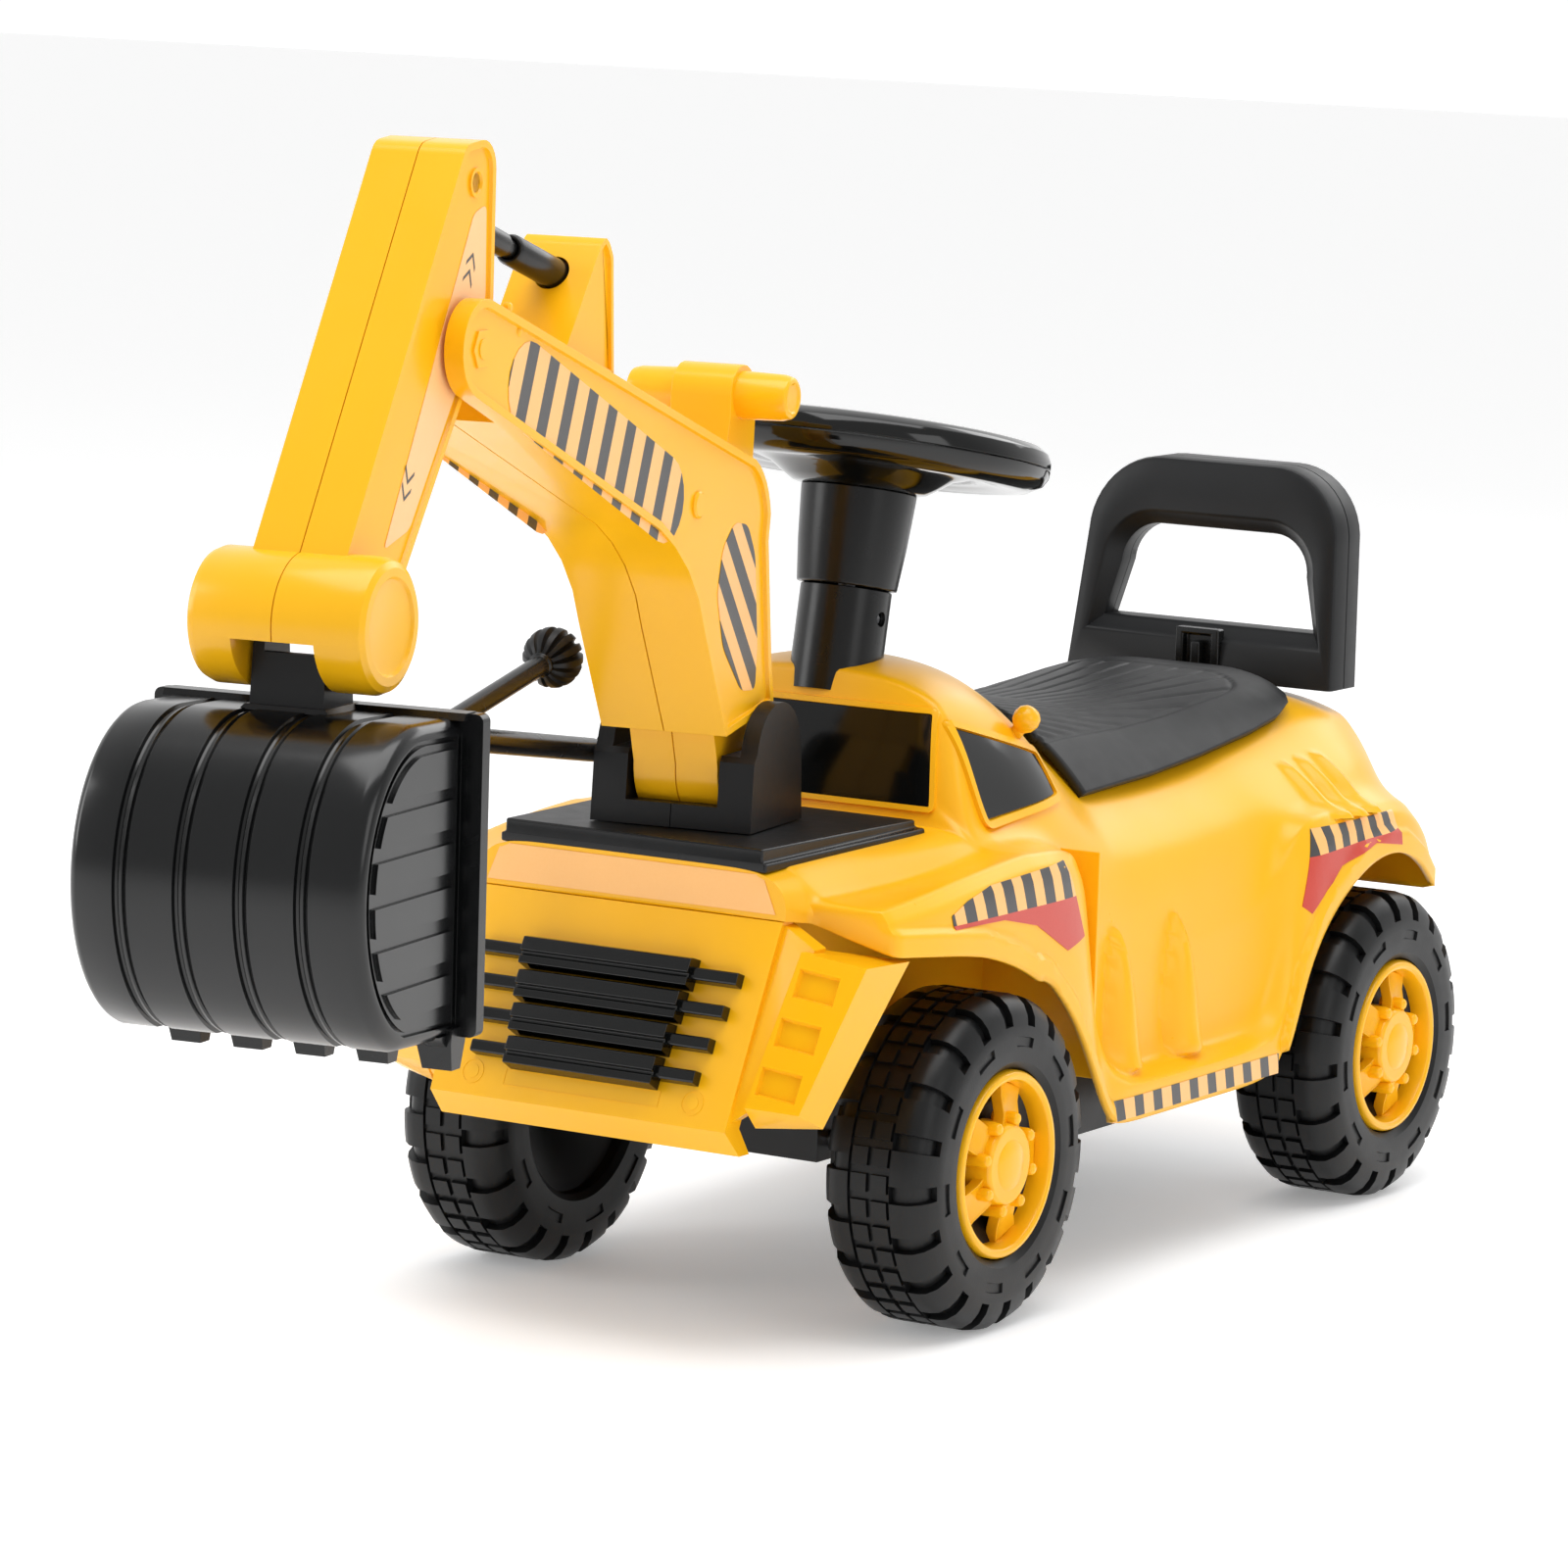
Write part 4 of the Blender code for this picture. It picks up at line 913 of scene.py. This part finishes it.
# %% Turret halves
flank = [(-27, 219.6), (-24.4, 250)] + arc(3, 250, 24.5, 170, 10, 20) + [(28, 250), (30, 219.6)]
for side, name in SIDES:
    half = plate(flank, side * 0.2, side * 38.5)
    low, high = sorted((-side, side * 22))
    half = carve(half, plate(arc(*BOOM_PIN, 26.2, 0, 350, 40), low, high))
    half = carve(half, box((low, -60, 230), (high, 60, 300)))
    low, high = sorted((side * 18, side * 30.6))
    half = carve(half, box((low, -60, 252.5), (high, 60, 300)))
    finish_piece(half, f"turret_cheek_{name}", SATIN_BLACK, "turret", ARM, [f"turret_{name}"],
                 edge=2.4, segments=4)
print("front panel, plinth and turret made")

# %% [markdown]
# ## Glazing, frames and stickers
# Windows and stickers follow the shell. Each starts as a flat outline, is split along its own pattern and on
# a grid, and is then dropped onto the shell along one direction. A thin extrusion gives it its thickness, and
# each face takes the vinyl that its place in the pattern asks for.

# %% Sheets laid on a surface
def split(bm, point, normal):
    geom = list(bm.verts) + list(bm.edges) + list(bm.faces)
    bmesh.ops.bisect_plane(bm, geom=geom, plane_co=point, plane_no=normal)


def sheet(outline, lines=(), paint=None, grid=0.0, round_corners=0.0, hollow=0.0):
    """A flat face in (u, v), kept as (0, u, v), split along lines of (point, direction)."""
    bm = bmesh.new()
    verts = [bm.verts.new((0, u, v)) for u, v in outline]
    bm.faces.new(verts)
    if round_corners:
        bmesh.ops.bevel(bm, geom=verts, offset=round_corners, offset_type="OFFSET", affect="VERTICES",
                        segments=5, profile=0.5, material=-1)
    if hollow:
        middle = list(bm.faces)
        bmesh.ops.inset_region(bm, faces=middle, thickness=hollow, use_boundary=True, use_even_offset=True)
        bmesh.ops.delete(bm, geom=middle, context="FACES")
    for (u, v), (du, dv) in lines:
        split(bm, (0, u, v), (0, -dv, du))
    if grid:
        us, vs = [p[0] for p in outline], [p[1] for p in outline]
        for step in range(1, int((max(us) - min(us)) / grid) + 1):
            split(bm, (0, min(us) + step * grid, 0), (0, 1, 0))
        for step in range(1, int((max(vs) - min(vs)) / grid) + 1):
            split(bm, (0, 0, min(vs) + step * grid), (0, 0, 1))
    for face in bm.faces:
        centre = face.calc_center_median()
        face.material_index = paint(centre.y, centre.z) if paint else 0
    return bm


def thicken(bm, outward, thickness):
    made = bmesh.ops.extrude_face_region(bm, geom=list(bm.faces), use_keep_orig=True)["geom"]
    moved = [g for g in made if isinstance(g, bmesh.types.BMVert)]
    bmesh.ops.translate(bm, verts=moved, vec=Vector(outward) * thickness)
    bmesh.ops.recalc_face_normals(bm, faces=bm.faces)
    return bm


def on_flank(bm, side, low=0.1, thickness=0.3):
    """Drops a sheet sideways onto the shell."""
    for vert in bm.verts:
        spot = BODY_TREE.ray_cast(Vector((side * 200, vert.co.y, vert.co.z)), Vector((-side, 0, 0)))[0]
        spot = spot or Vector((side * 128, vert.co.y, vert.co.z))
        vert.co = spot + Vector((side * low, 0, 0))
    return thicken(bm, (side, 0, 0), thickness)


def on_front(bm, low=0.1, thickness=0.3, start=-400):
    """Drops a sheet, drawn in (x, z), from the front onto the shell."""
    for vert in bm.verts:
        x, z = vert.co.y, vert.co.z
        spot = BODY_TREE.ray_cast(Vector((x, start, z)), Vector((0, 1, 0)))[0]
        spot = spot or Vector((x, -172, z))
        vert.co = spot - Vector((0, low, 0))
    return thicken(bm, (0, -1, 0), thickness)


def stripes(start, pitch, width, slant, level):
    """The edge lines of slanted bars, and a test for being inside one."""
    def inside(u, v):
        return ((u - start - slant * (v - level)) / pitch) % 1 < width / pitch

    def lines(count):
        return [((start + pitch * i + shift, level), (slant, 1))
                for i in range(-1, count + 1) for shift in (0, width)]
    return inside, lines


# %% Windscreen, side windows, studs
screen = sheet([(-70, 223), (70, 223), (63.5, 263), (-63.5, 263)], grid=4, round_corners=1.5)
finish_piece(on_front(screen, 0.3, 1.2, -250), "windscreen", POLISHED_BLACK, "chassis",
             stands_for=["windshield"],
             angle=40)
screen_frame = sheet([(-72.5, 220.5), (72.5, 220.5), (66, 265.8), (-66, 265.8)], grid=4, round_corners=3,
                     hollow=2.4)
finish_piece(on_front(screen_frame, 0.0, 1.6, -250), "windscreen_rim", BLOWN_YELLOW, "chassis", angle=50)
WINDOW = [(-160.5, 257.5), (-96, 239.5), (-94, 222.5), (-158.5, 217.5)]
WINDOW_RIM = [(-163, 262), (-91.5, 242.5), (-89, 219.5), (-161, 213.5)]
for side, name in SIDES:
    glass = on_flank(sheet(WINDOW, grid=3, round_corners=1.5), side, 0.3, 1.0)
    finish_piece(glass, f"cab_window_{name}", POLISHED_BLACK, "chassis", stands_for=[f"side_window_{name}"],
                 angle=40)
    rim = on_flank(sheet(WINDOW_RIM, grid=3, round_corners=4, hollow=3.0), side, 0.0, 2.4)
    finish_piece(rim, f"cab_window_rim_{name}", BLOWN_YELLOW, "chassis", angle=50)
    spot = BODY_TREE.ray_cast(Vector((side * 73, -104, 400)), Vector((0, 0, -1)))[0]
    stud = turned([(0, -3), (3.2, -3), (3.2, 2.5), (4, 3.5), (5.6, 5.4), (6.4, 8.6), (5.8, 11.6), (4, 13.6),
                   (2, 14.5),
                   (0, 14.8)], 36)
    finish_piece(aim(stud, spot, (side * 0.75, 0, 1)), f"ball_stud_{name}", MOULDED_YELLOW, "chassis",
                 stands_for=[f"roof_stud_{name}"])
print("glazing made")

# %% Stickers on the shell
band = sheet([(-75, 191.5), (75, 191.5), (68, 208), (-68, 208)], grid=6)
finish_piece(on_front(band), "bonnet_band_sticker", STICKER, "chassis", angle=50)


def red_below(points):
    """A test for being under a line through (u, v) points, and that line's pieces."""
    def under(u, v):
        for (u0, v0), (u1, v1) in zip(points, points[1:]):
            if u0 <= u <= u1:
                return v < v0 + (v1 - v0) * (u - u0) / (u1 - u0)
        return False
    lines = [(a, (b[0] - a[0], b[1] - a[1])) for a, b in zip(points, points[1:])]
    return under, lines


FENDER_STICKERS = (
    ("front", [(-249, 189), (-236, 194), (-215, 198.5), (-146, 201.5), (-128, 165), (-147, 161), (-176, 176),
      (-205, 182), (-248, 183)],
     [(-260, 184.5), (-120, 184.5)], (-242, 17.4, 9.0, -0.30, 200)),
    ("rear", [(97, 188), (176, 189), (178, 172), (150, 176), (120, 168), (92, 148), (86, 152)],
     [(80, 174), (190, 181)], (104, 14.6, 7.2, -0.22, 190)),
)
for side, name in SIDES:
    for place, outline, divide, bar_numbers in FENDER_STICKERS:
        inside, bar_lines = stripes(*bar_numbers)
        under, red_lines = red_below(divide)
        pattern = sheet(outline, bar_lines(7) + red_lines,
                        lambda u, v: 2 if under(u, v) else (1 if inside(u, v) else 0), grid=5)
        finish_piece(on_flank(pattern, side), f"{place}_fender_sticker_{name}", STICKER, "chassis", angle=50)
    inside, bar_lines = stripes(-96, 17.5, 8.2, -0.18, 80)
    pattern = sheet([(-100, 84.5), (62, 84.5), (62, 75), (-100, 75)], bar_lines(10),
                    lambda u, v: 1 if inside(u, v) else 0, grid=6)
    finish_piece(on_flank(pattern, side), f"skirt_sticker_{name}", STICKER, "chassis", angle=50)

# %% [markdown]
# The boom carries a long striped sticker and a short one below it. The stick carries a plain pale panel with
# two pairs of chevrons, each chevron made of two strokes.

# %% Stickers on the arm
def stadium(start, end, half, steps=10):
    (y0, z0), (y1, z1) = start, end
    turn = math.degrees(math.atan2(z1 - z0, y1 - y0))
    return arc(y0, z0, half, turn + 90, turn + 270, steps) + arc(y1, z1, half, turn - 90, turn + 90, steps)


def on_plane(bm, x, side, thickness=0.25):
    bmesh.ops.translate(bm, verts=bm.verts, vec=(side * x, 0, 0))
    return thicken(bm, (side, 0, 0), thickness)


UPPER = stadium((-243, 429), (-104, 372), 18.5)
LOWER = [(-42, 346), (-47, 326), (-39, 302), (-18, 281), (-3, 280), (-2, 300), (-7, 340), (-16, 354),
         (-30, 356)]
BAR_SLOPE, ACROSS_BARS = Vector((0.62, -0.78)), Vector((0.78, 0.62))
BAR_START, BAR_PITCH = Vector((-60, 270)), 16.4
BAR_LINES = [(tuple(BAR_START + ACROSS_BARS * (BAR_PITCH * index + shift)), tuple(BAR_SLOPE))
             for index in range(9) for shift in (0, BAR_PITCH / 2)]


def lower_paint(u, v):
    return 1 if (((Vector((u, v)) - BAR_START).dot(ACROSS_BARS) / BAR_PITCH) % 1) < 0.5 else 0


for side, name in SIDES:
    inside, bar_lines = stripes(-262, 22.6, 10.4, 0.42, 400)
    pattern = sheet(UPPER, bar_lines(11), lambda u, v: 1 if inside(u, v) else 0)
    finish_piece(on_plane(pattern, BOOM_HALF - 1.75, side), f"boom_sticker_{name}", STICKER, "boom", ARM,
                 angle=50)
    pattern = sheet(LOWER, BAR_LINES, lower_paint, round_corners=4)
    finish_piece(on_plane(pattern, BOOM_HALF - 1.75, side), f"boom_lower_sticker_{name}", STICKER, "boom",
                 ARM,
                 angle=50)
    panel_outline = [(-278, 500), (-267, 503), (-266, 466), (-274, 452), (-330, 378), (-352, 372)]
    pattern = sheet(panel_outline, round_corners=3)
    on_plane(pattern, STICK_HALF - 1.35, side)
    for base, spread in (((-281, 478), 1), ((-333, 396), -1)):
        for shift in (0, 7):
            along = Vector((0.40, 0.917)) * spread
            wide = Vector((0.917, -0.40))
            tip = Vector(base) + along * shift
            for arm_side in (-1, 1):
                foot = tip - along * 5 + wide * (4.2 * arm_side)
                stroke = [tip, tip - along * 1.8, foot - along * 1.8, foot]
                mark = sheet([tuple(p) for p in stroke], paint=lambda u, v: 1)
                merge_in(pattern, on_plane(mark, STICK_HALF - 1.12, side, 0.12))
    finish_piece(pattern, f"stick_sticker_{name}", (PALE_VINYL, CHARCOAL_VINYL, RED_VINYL), "stick", ARM,
                 angle=50,
                 outward=False)
print("stickers made")

# %% [markdown]
# ## Bucket
# The bucket is one polished shell, open at the rear. Its drum is an oval skinned from side to side, and four
# fine grooves with a ridge beside them run round it. Each end plate is a flat D with a channel round it and
# seven wide ribs, and a frame with rounded corners stiffens the mouth.

# %% Bucket shell
DRUM, DRUM_HALF_DEPTH, DRUM_HALF_HEIGHT = (-400, 248), 54, 64


def drum_outline(grow, right=-364):
    """The drum seen from its end: an oval from the top to the cutting lip, closed by a straight mouth."""
    oval = [(DRUM[0] + (DRUM_HALF_DEPTH + grow) * y, DRUM[1] + (DRUM_HALF_HEIGHT + grow) * z)
            for y, z in arc(0, 0, 1, 90, 254, 44)]
    return [(right, 311 + grow)] + oval + [(right, 184.5 - grow)]


GROOVE = ((-3.0, 0), (-2.4, -1.5), (-1.4, -1.9), (-0.3, -0.7), (0.9, -0.5), (1.8, -1.6), (2.6, -1.3),
          (3.2, 0))
steps = [(-63, -4.5), (-62.2, -2.4), (-60.6, -0.8), (-58.6, 0)]
for middle in (-40, -14, 12, 38):
    steps += [(middle + shift, depth) for shift, depth in GROOVE]
steps += [(57, 0), (60, -0.9), (62, -2.6), (63, -4.5)]
bucket = skin([[(x, y, z) for y, z in drum_outline(grow)] for x, grow in steps])
bucket = carve(bucket, plate(drum_outline(-3, -340), -60.2, 60.2))
for side, _ in SIDES:
    low, high = sorted((side * 61.4, side * 65))
    channel = carve(plate(drum_outline(-6.2, -368.8), low, high),
                    plate(drum_outline(-8.2, -372.4), low - 1, high + 1))
    bucket = carve(bucket, channel)
    bars = bmesh.new()
    low, high = sorted((side * 61, side * 64.6))
    for top, tall in [(300.4, 15)] + [(280.6 - 17.2 * index, 11.4) for index in range(6)]:
        box((low, -460, top - tall), (high, -375.4, top), bars)
    ribs = carve(plate(drum_outline(-11, -375.6), side * 61.4, side * 64.4), bars, "INTERSECT")
    bucket = carve(bucket, ribs, "UNION")
finish_piece(bucket, "bucket_shell", BUCKET_BLACK, "bucket_body", ARM, ["bucket"], edge=0.7,
             segments=2)

# %% Mouth frame, teeth and link lug
frame_outline = [(72, 186), (72, 313), (-72, 313), (-72, 186), (-62.4, 186), (-62.4, 308.6), (62.4, 308.6),
                 (62.4, 186)]
mouth = plate(frame_outline, 362, 368.4, 3.2)
bmesh.ops.rotate(mouth, verts=mouth.verts, cent=(0, 0, 0), matrix=Matrix.Rotation(-math.pi / 2, 3, "Z"))
top_lip = slab([(310.6, 66, -373, -363), (313.4, 66, -371.5, -363)])
mouth = carve(mouth, top_lip, "UNION")
low_lip = slab([(182.6, 63, -375.5, -362.4), (187.5, 63, -383, -362.4)])
mouth = carve(mouth, low_lip, "UNION")
for index in range(5):
    x = -53 + 27.6 * index
    tooth = skin([[(x - w, front, z), (x + w, front, z), (x + w, rear, z), (x - w, rear, z)]
                  for z, w, front, rear in ((190, 8, -376, -363.5), (184, 7.6, -376, -363.5),
                                            (173, 6.4, -372.5, -365))])
    mouth = carve(mouth, tooth, "UNION")
lug = [(-374, 310), (-374, 299), (-352, 293)] + arc(-300, 292, 8, 235, 440, 18)
mouth = carve(mouth, plate(lug, -54.2, -50.4), "UNION")
finish_piece(mouth, "bucket_mouth", SMOOTH_BLACK, "bucket_body", ARM, edge=0.9)

# %% Hinge block, lever and link
y, z = BUCKET_PIN
ear = [(y - 13, 312.6), (y + 13, 312.6), (y + 9.4, z + 2)] + arc(y, z, 9.4, 10, 170, 12) + [(y - 9.4, z + 2)]
ears = carve(plate(ear, -16, 16), box((-11, y - 7, 322), (11, y + 30, 370)))
ears = carve(ears, box((-11, y - 30, 334), (11, y + 30, 370)))
foot_plate = slab([(311.4, 19.5, y - 15, y + 15), (313.6, 17.5, y - 14, y + 14)])
finish_piece(carve(ears, foot_plate, "UNION"), "bucket_ears", SATIN_BLACK, "bucket_body", ARM,
             ["bucket_hinge"],
             edge=1.0)

knob, inside_end = Vector((-55.2, -34, 291)), Vector((-55.2, -400, 229.2))
along_lever = (knob - inside_end).normalized()
shaft_length = (knob - inside_end).length
shaft = turned([(0, 0), (4.6, 0), (4.6, shaft_length - 14), (5.6, shaft_length - 13), (5.6, shaft_length - 8),
                (0, shaft_length - 8)], 32)
finish_piece(aim(shaft, inside_end, along_lever), "lever_shaft", SMOOTH_BLACK, "bucket_body", ARM,
             ["lever_rod"],
             edge=0.4)
ball = turned([(0, -12.4), (5, -12)] + [(13.6 * math.sin(math.radians(a)), -12.6 * math.cos(math.radians(a)))
                                         for a in range(30, 171, 10)] + [(0, 12.6)], 112)
for vert in ball.verts:
    radius = math.hypot(vert.co.y, vert.co.z)
    turn = math.atan2(vert.co.z, vert.co.y)
    flute = max(0.0, math.cos(14 * turn)) ** 0.6
    depth = 2.3 * flute * min(1.0, radius / 9) * (1 if abs(vert.co.x) < 11 else 0)
    vert.co.y -= depth * math.cos(turn)
    vert.co.z -= depth * math.sin(turn)
finish_piece(aim(ball, knob, along_lever), "lever_ball", SATIN_BLACK, "bucket_body", ARM, ["lever_knob"],
             angle=50)

link_foot, link_tip = Vector((-44.5, *BOOM_PIN)), Vector((-44.5, -300, 292))
along_link, link_length = (link_tip - link_foot).normalized(), (link_tip - link_foot).length
bar = turned([(0, 5), (3.7, 5), (3.7, 15), (5, 16), (5.3, 17), (5.3, link_length - 7), (0, link_length - 7)],
             32)
bar = aim(bar, link_foot, along_link)
bar = carve(bar, plate(arc(*BOOM_PIN, 8, 0, 348, 29), -47.5, -39.5), "UNION")
bar = carve(bar, plate(arc(-300, 292, 7.6, 0, 348, 29), -49.5, -39.5), "UNION")
finish_piece(bar, "link_bar", SMOOTH_BLACK, "link", ARM, ["link_rod"], edge=0.5)
print("bucket, lever and link made")

# %% [markdown]
# ## Steering
# The column is a fixed tube with a flared sleeve turning on it. The wheel is two glossy halves that meet at a
# seam, with a bowl under its hub and a cap on top. A screw sits in a hole in the tube's side.

# %% Column and wheel
def on_column(profile, steps=80, closed=False):
    return aim(turned(profile, steps, closed), STEER_TOP, STEER_UP)


tube = on_column([(17.6, -112), (21, -112), (21, -64.6), (20.4, -64.2), (17.6, -64.2)], closed=True)
tube = carve(tube, aim(turned([(0, 0), (3.4, 0), (3.4, 12), (0, 12)], 32), (13, -139.5, 300), (1, 0, 0)))
finish_piece(tube, "column_lower", SMOOTH_BLACK, "chassis", stands_for=["column_tube"],
             edge=0.5, angle=40)
screw = turned([(0, 0), (2.8, 0), (2.8, 1.6), (2, 2.2), (0, 2.2)], 24)
screw = carve(screw, box((1.4, -2.2, -0.4), (3, 2.2, 0.4)))
screw = carve(screw, box((1.4, -0.4, -2.2), (3, 0.4, 2.2)))
finish_piece(aim(screw, (16.6, -139.5, 300), (1, 0, 0)), "column_screw_head", STEEL, "chassis",
             stands_for=["column_screw"])
sleeve = on_column([(20.2, -63.6), (22.6, -63.6), (23.1, -63), (25, -44), (26.2, -26), (26.6, -19.2),
                    (23, -19.2)],
                   closed=True)
finish_piece(sleeve, "column_upper", SMOOTH_BLACK, "steering", stands_for=["column_sleeve"],
             edge=0.4, angle=40)
rim_top = on_column([(85.4, 0.3), (85.3, 3.6), (83.6, 7.2), (79.4, 10), (72, 11.2), (65, 10.2), (60.4, 7),
                     (58, 3.4),
                     (57.2, 0.3)], 120, closed=True)
finish_piece(rim_top, "wheel_rim_top", POLISHED_BLACK, "steering", stands_for=["wheel_upper"],
             edge=0.3, angle=50)
bowl = on_column([(0, -19), (27, -19), (31, -18), (35, -15.4), (42, -10.6), (50, -8.2), (60, -9.6),
                  (70, -11.2),
                  (77, -10.4), (82.6, -7.4), (85, -3.6), (85.4, -0.3), (57.4, -0.3), (54, -3.6), (44, -6),
                  (34, -11),
                  (26, -14.4), (0, -14.4)], 120)
finish_piece(bowl, "wheel_rim_bottom", POLISHED_BLACK, "steering", stands_for=["wheel_lower"],
             edge=0.3, angle=50)
cap = on_column([(0, -13.4), (24, -13.4), (24.4, -12), (23.6, -8), (18, -5), (10, -4), (0, -3.7)], 64)
finish_piece(cap, "wheel_centre_cap", SATIN_BLACK, "steering", stands_for=["wheel_cap"],
             edge=0.5, angle=50)

# %% [markdown]
# ## Saddle and backrest
# The saddle is a fine grid of points. Each row has a crown, a fall-off and a half width read from six cross
# sections, and grooves fan out from a point ahead of the cab inside a border line. The backrest is a hollow
# hoop in two halves, skinned through rings that step from its rim into the hand hole.

# %% Saddle
SADDLE_ROWS = ((-45, 256, 216, 77, 2.27), (20, 247, 219, 78, 3.25), (66, 246, 223, 78, 3.53),
               (120, 248, 229, 77, 3.67), (150, 249.5, 233.5, 75.5, 3.7), (168, 250, 237.5, 71, 3.9),
               (179, 250, 240.5, 63, 4.4), (185, 249.6, 242, 51, 5.0))
FAN, FAN_SPACING = Vector((0, -130)), 2.7


def saddle_row(y):
    for low, high in zip(SADDLE_ROWS, SADDLE_ROWS[1:]):
        if y <= high[0]:
            share = (y - low[0]) / (high[0] - low[0])
            return [a + (b - a) * share for a, b in zip(low[1:], high[1:])]
    return SADDLE_ROWS[-1][1:]


def groove(distance):
    """The depth of a soft groove one millimetre deep, at a distance from its middle."""
    return math.exp(-distance ** 2)


def saddle_height(x, y):
    crown, edge_z, half, power = saddle_row(y)
    z = crown - (crown - edge_z) * min(1.0, abs(x) / half) ** power
    inner_half, rear, corner = half - 23, 163, 26
    dx, dy = abs(x) - (inner_half - corner), y - (rear - corner)
    border = math.hypot(max(dx, 0), max(dy, 0)) + min(0, max(dx, dy)) - corner
    turn = math.degrees(math.atan2(x - FAN.x, y - FAN.y))
    reach = math.hypot(x - FAN.x, y - FAN.y)
    off = (abs((turn / FAN_SPACING) % 1 - 0.5) - 0.5) * FAN_SPACING
    fan_groove = groove(math.radians(off) * reach) if border < -1 else 0
    return z - max(fan_groove, groove(border))


saddle = bmesh.new()
COLUMNS, ROWS = 200, 92
rows = []
for j in range(ROWS + 1):
    y = -45 + 230 * j / ROWS
    half = saddle_row(y)[2]
    rows.append([saddle.verts.new((half * u, y, saddle_height(half * u, y)))
                 for u in [2 * i / COLUMNS - 1 for i in range(COLUMNS + 1)]])
for low, high in zip(rows, rows[1:]):
    for i in range(COLUMNS):
        saddle.faces.new((low[i], low[i + 1], high[i + 1], high[i]))
saddle_lid = finish_piece(saddle, "saddle_cover", SADDLE_BLACK, "lid", stands_for=["saddle"],
                          angle=60, outward=False)
lid_wall = saddle_lid.modifiers.new("wall", "SOLIDIFY")
lid_wall.thickness = 4.2 * MM
lid_wall.offset = -1

# %% Backrest
def hoop(half_low, half_high, low, high, radius, depth):
    """One ring of the backrest at a depth from its front face, leaning back with height."""
    points = [(half_low, low)]
    for step in range(13):
        turn = math.radians(90 * step / 12)
        points.append((half_high - radius + radius * math.cos(turn), high - radius + radius * math.sin(turn)))
    points += [(-x, z) for x, z in reversed(points)]
    return [(x, 204 + (z - 239) * 0.13 + depth, z) for x, z in points]


def outer_ring(shrink, depth):
    return hoop(75 - shrink, 70 - shrink, 239.2, 347 - shrink, 38 - shrink, depth)


def hole_ring(grow, depth):
    return hoop(59 + grow, 52 + grow, 266 - grow, 313 + grow, 20 + grow, depth)


front = [outer_ring(0.5, 14.8), outer_ring(0, 14.4), outer_ring(0, 2.4), outer_ring(0.7, 0.7),
         outer_ring(2.4, 0),
         hole_ring(8.5, 0), hole_ring(7.4, 0.4), hole_ring(6.2, 2.0), hole_ring(1.6, 6.4),
         hole_ring(0.4, 7.2),
         hole_ring(0, 8.6), hole_ring(0, 14.8)]
rear = [outer_ring(0.5, 15.2), outer_ring(0, 15.6), outer_ring(0, 26.6), outer_ring(0.7, 28.3),
        outer_ring(2.4, 29),
        hole_ring(8.5, 29), hole_ring(6.2, 27), hole_ring(1.6, 23), hole_ring(0, 21), hole_ring(0, 15.2)]
front_half = skin(front, ring=True)
front_half = carve(front_half, box((-10, 196, 238), (10, 213, 262.5)))
finish_piece(front_half, "backrest_shell_front", SATIN_BLACK, "chassis", stands_for=["backrest_front"],
             angle=38)
finish_piece(skin(rear, ring=True), "backrest_shell_rear", SATIN_BLACK, "chassis",
             stands_for=["backrest_rear"],
             angle=38)
catch = box((-12.4, 202.8, 240.5), (12.4, 209.5, 264.5))
catch = carve(catch, box((-7.6, 196, 244), (7.6, 207, 261.5)))
box((-2.6, 201, 243), (2.6, 207.5, 258), catch)
finish_piece(catch, "seat_catch", SMOOTH_BLACK, "chassis", stands_for=["saddle_catch"],
             edge=1.2)
print("steering, saddle and backrest made")

# %% [markdown]
# ## Wheel wells and hidden parts
# The blow-moulded body closes round each front wheel: a wall beside the steering yoke and one behind the
# tyre. The parts underneath are plain shapes already, so they keep their solids and only take a finish.

# %% Wheel wells
wells = bmesh.new()
for side, _ in SIDES:
    low, high = sorted((side * 60, side * 62))
    box((low, -304, 110), (high, -106, 205), wells)
    low, high = sorted((side * 60, side * 121))
    box((low, -108, 96), (high, -106, 200), wells)
finish_piece(wells, "front_wheel_wells", BLOWN_YELLOW, "chassis", edge=0.5)

# %% Finishes for the plain solids
KEPT = {
    SATIN_BLACK: ["underframe", "steering_yoke"],
    MOULDED_YELLOW: ["storage_bin"],
    STEEL: ["front_axle", "rear_axle", "steering_rod", "turret_bolt", "boom_pin", "stick_pin", "bucket_pin",
            "push_nut_front_left", "push_nut_front_right", "push_nut_rear_left", "push_nut_rear_right"],
}
for material, names in KEPT.items():
    for name in names:
        for material_slot in bpy.data.objects[name].material_slots:
            material_slot.material = material
print("finishes given to", sum(len(names) for names in KEPT.values()), "plain solids")

# %% [markdown]
# ## Floor
# A pale floor catches the shadow, and glows a little so that it stays white far from the lamps.

# %% Floor and finish
FLOOR_SIZE, FLOOR_GLOW = 12, 0.24
floor_mesh = bmesh.new()
bmesh.ops.create_grid(floor_mesh, x_segments=1, y_segments=1, size=FLOOR_SIZE)
floor = bpy.data.objects.new("floor", bpy.data.meshes.new("floor"))
floor_mesh.to_mesh(floor.data)
floor_mesh.free()
floor_paint, _, floor_shader = new_material("pale_studio_paper", "#FFFFFF", 0.6)
floor_shader.inputs["Emission Color"].default_value = (1, 1, 1, 1)
floor_shader.inputs["Emission Strength"].default_value = FLOOR_GLOW
floor.data.materials.append(floor_paint)
bpy.context.collection.objects.link(floor)
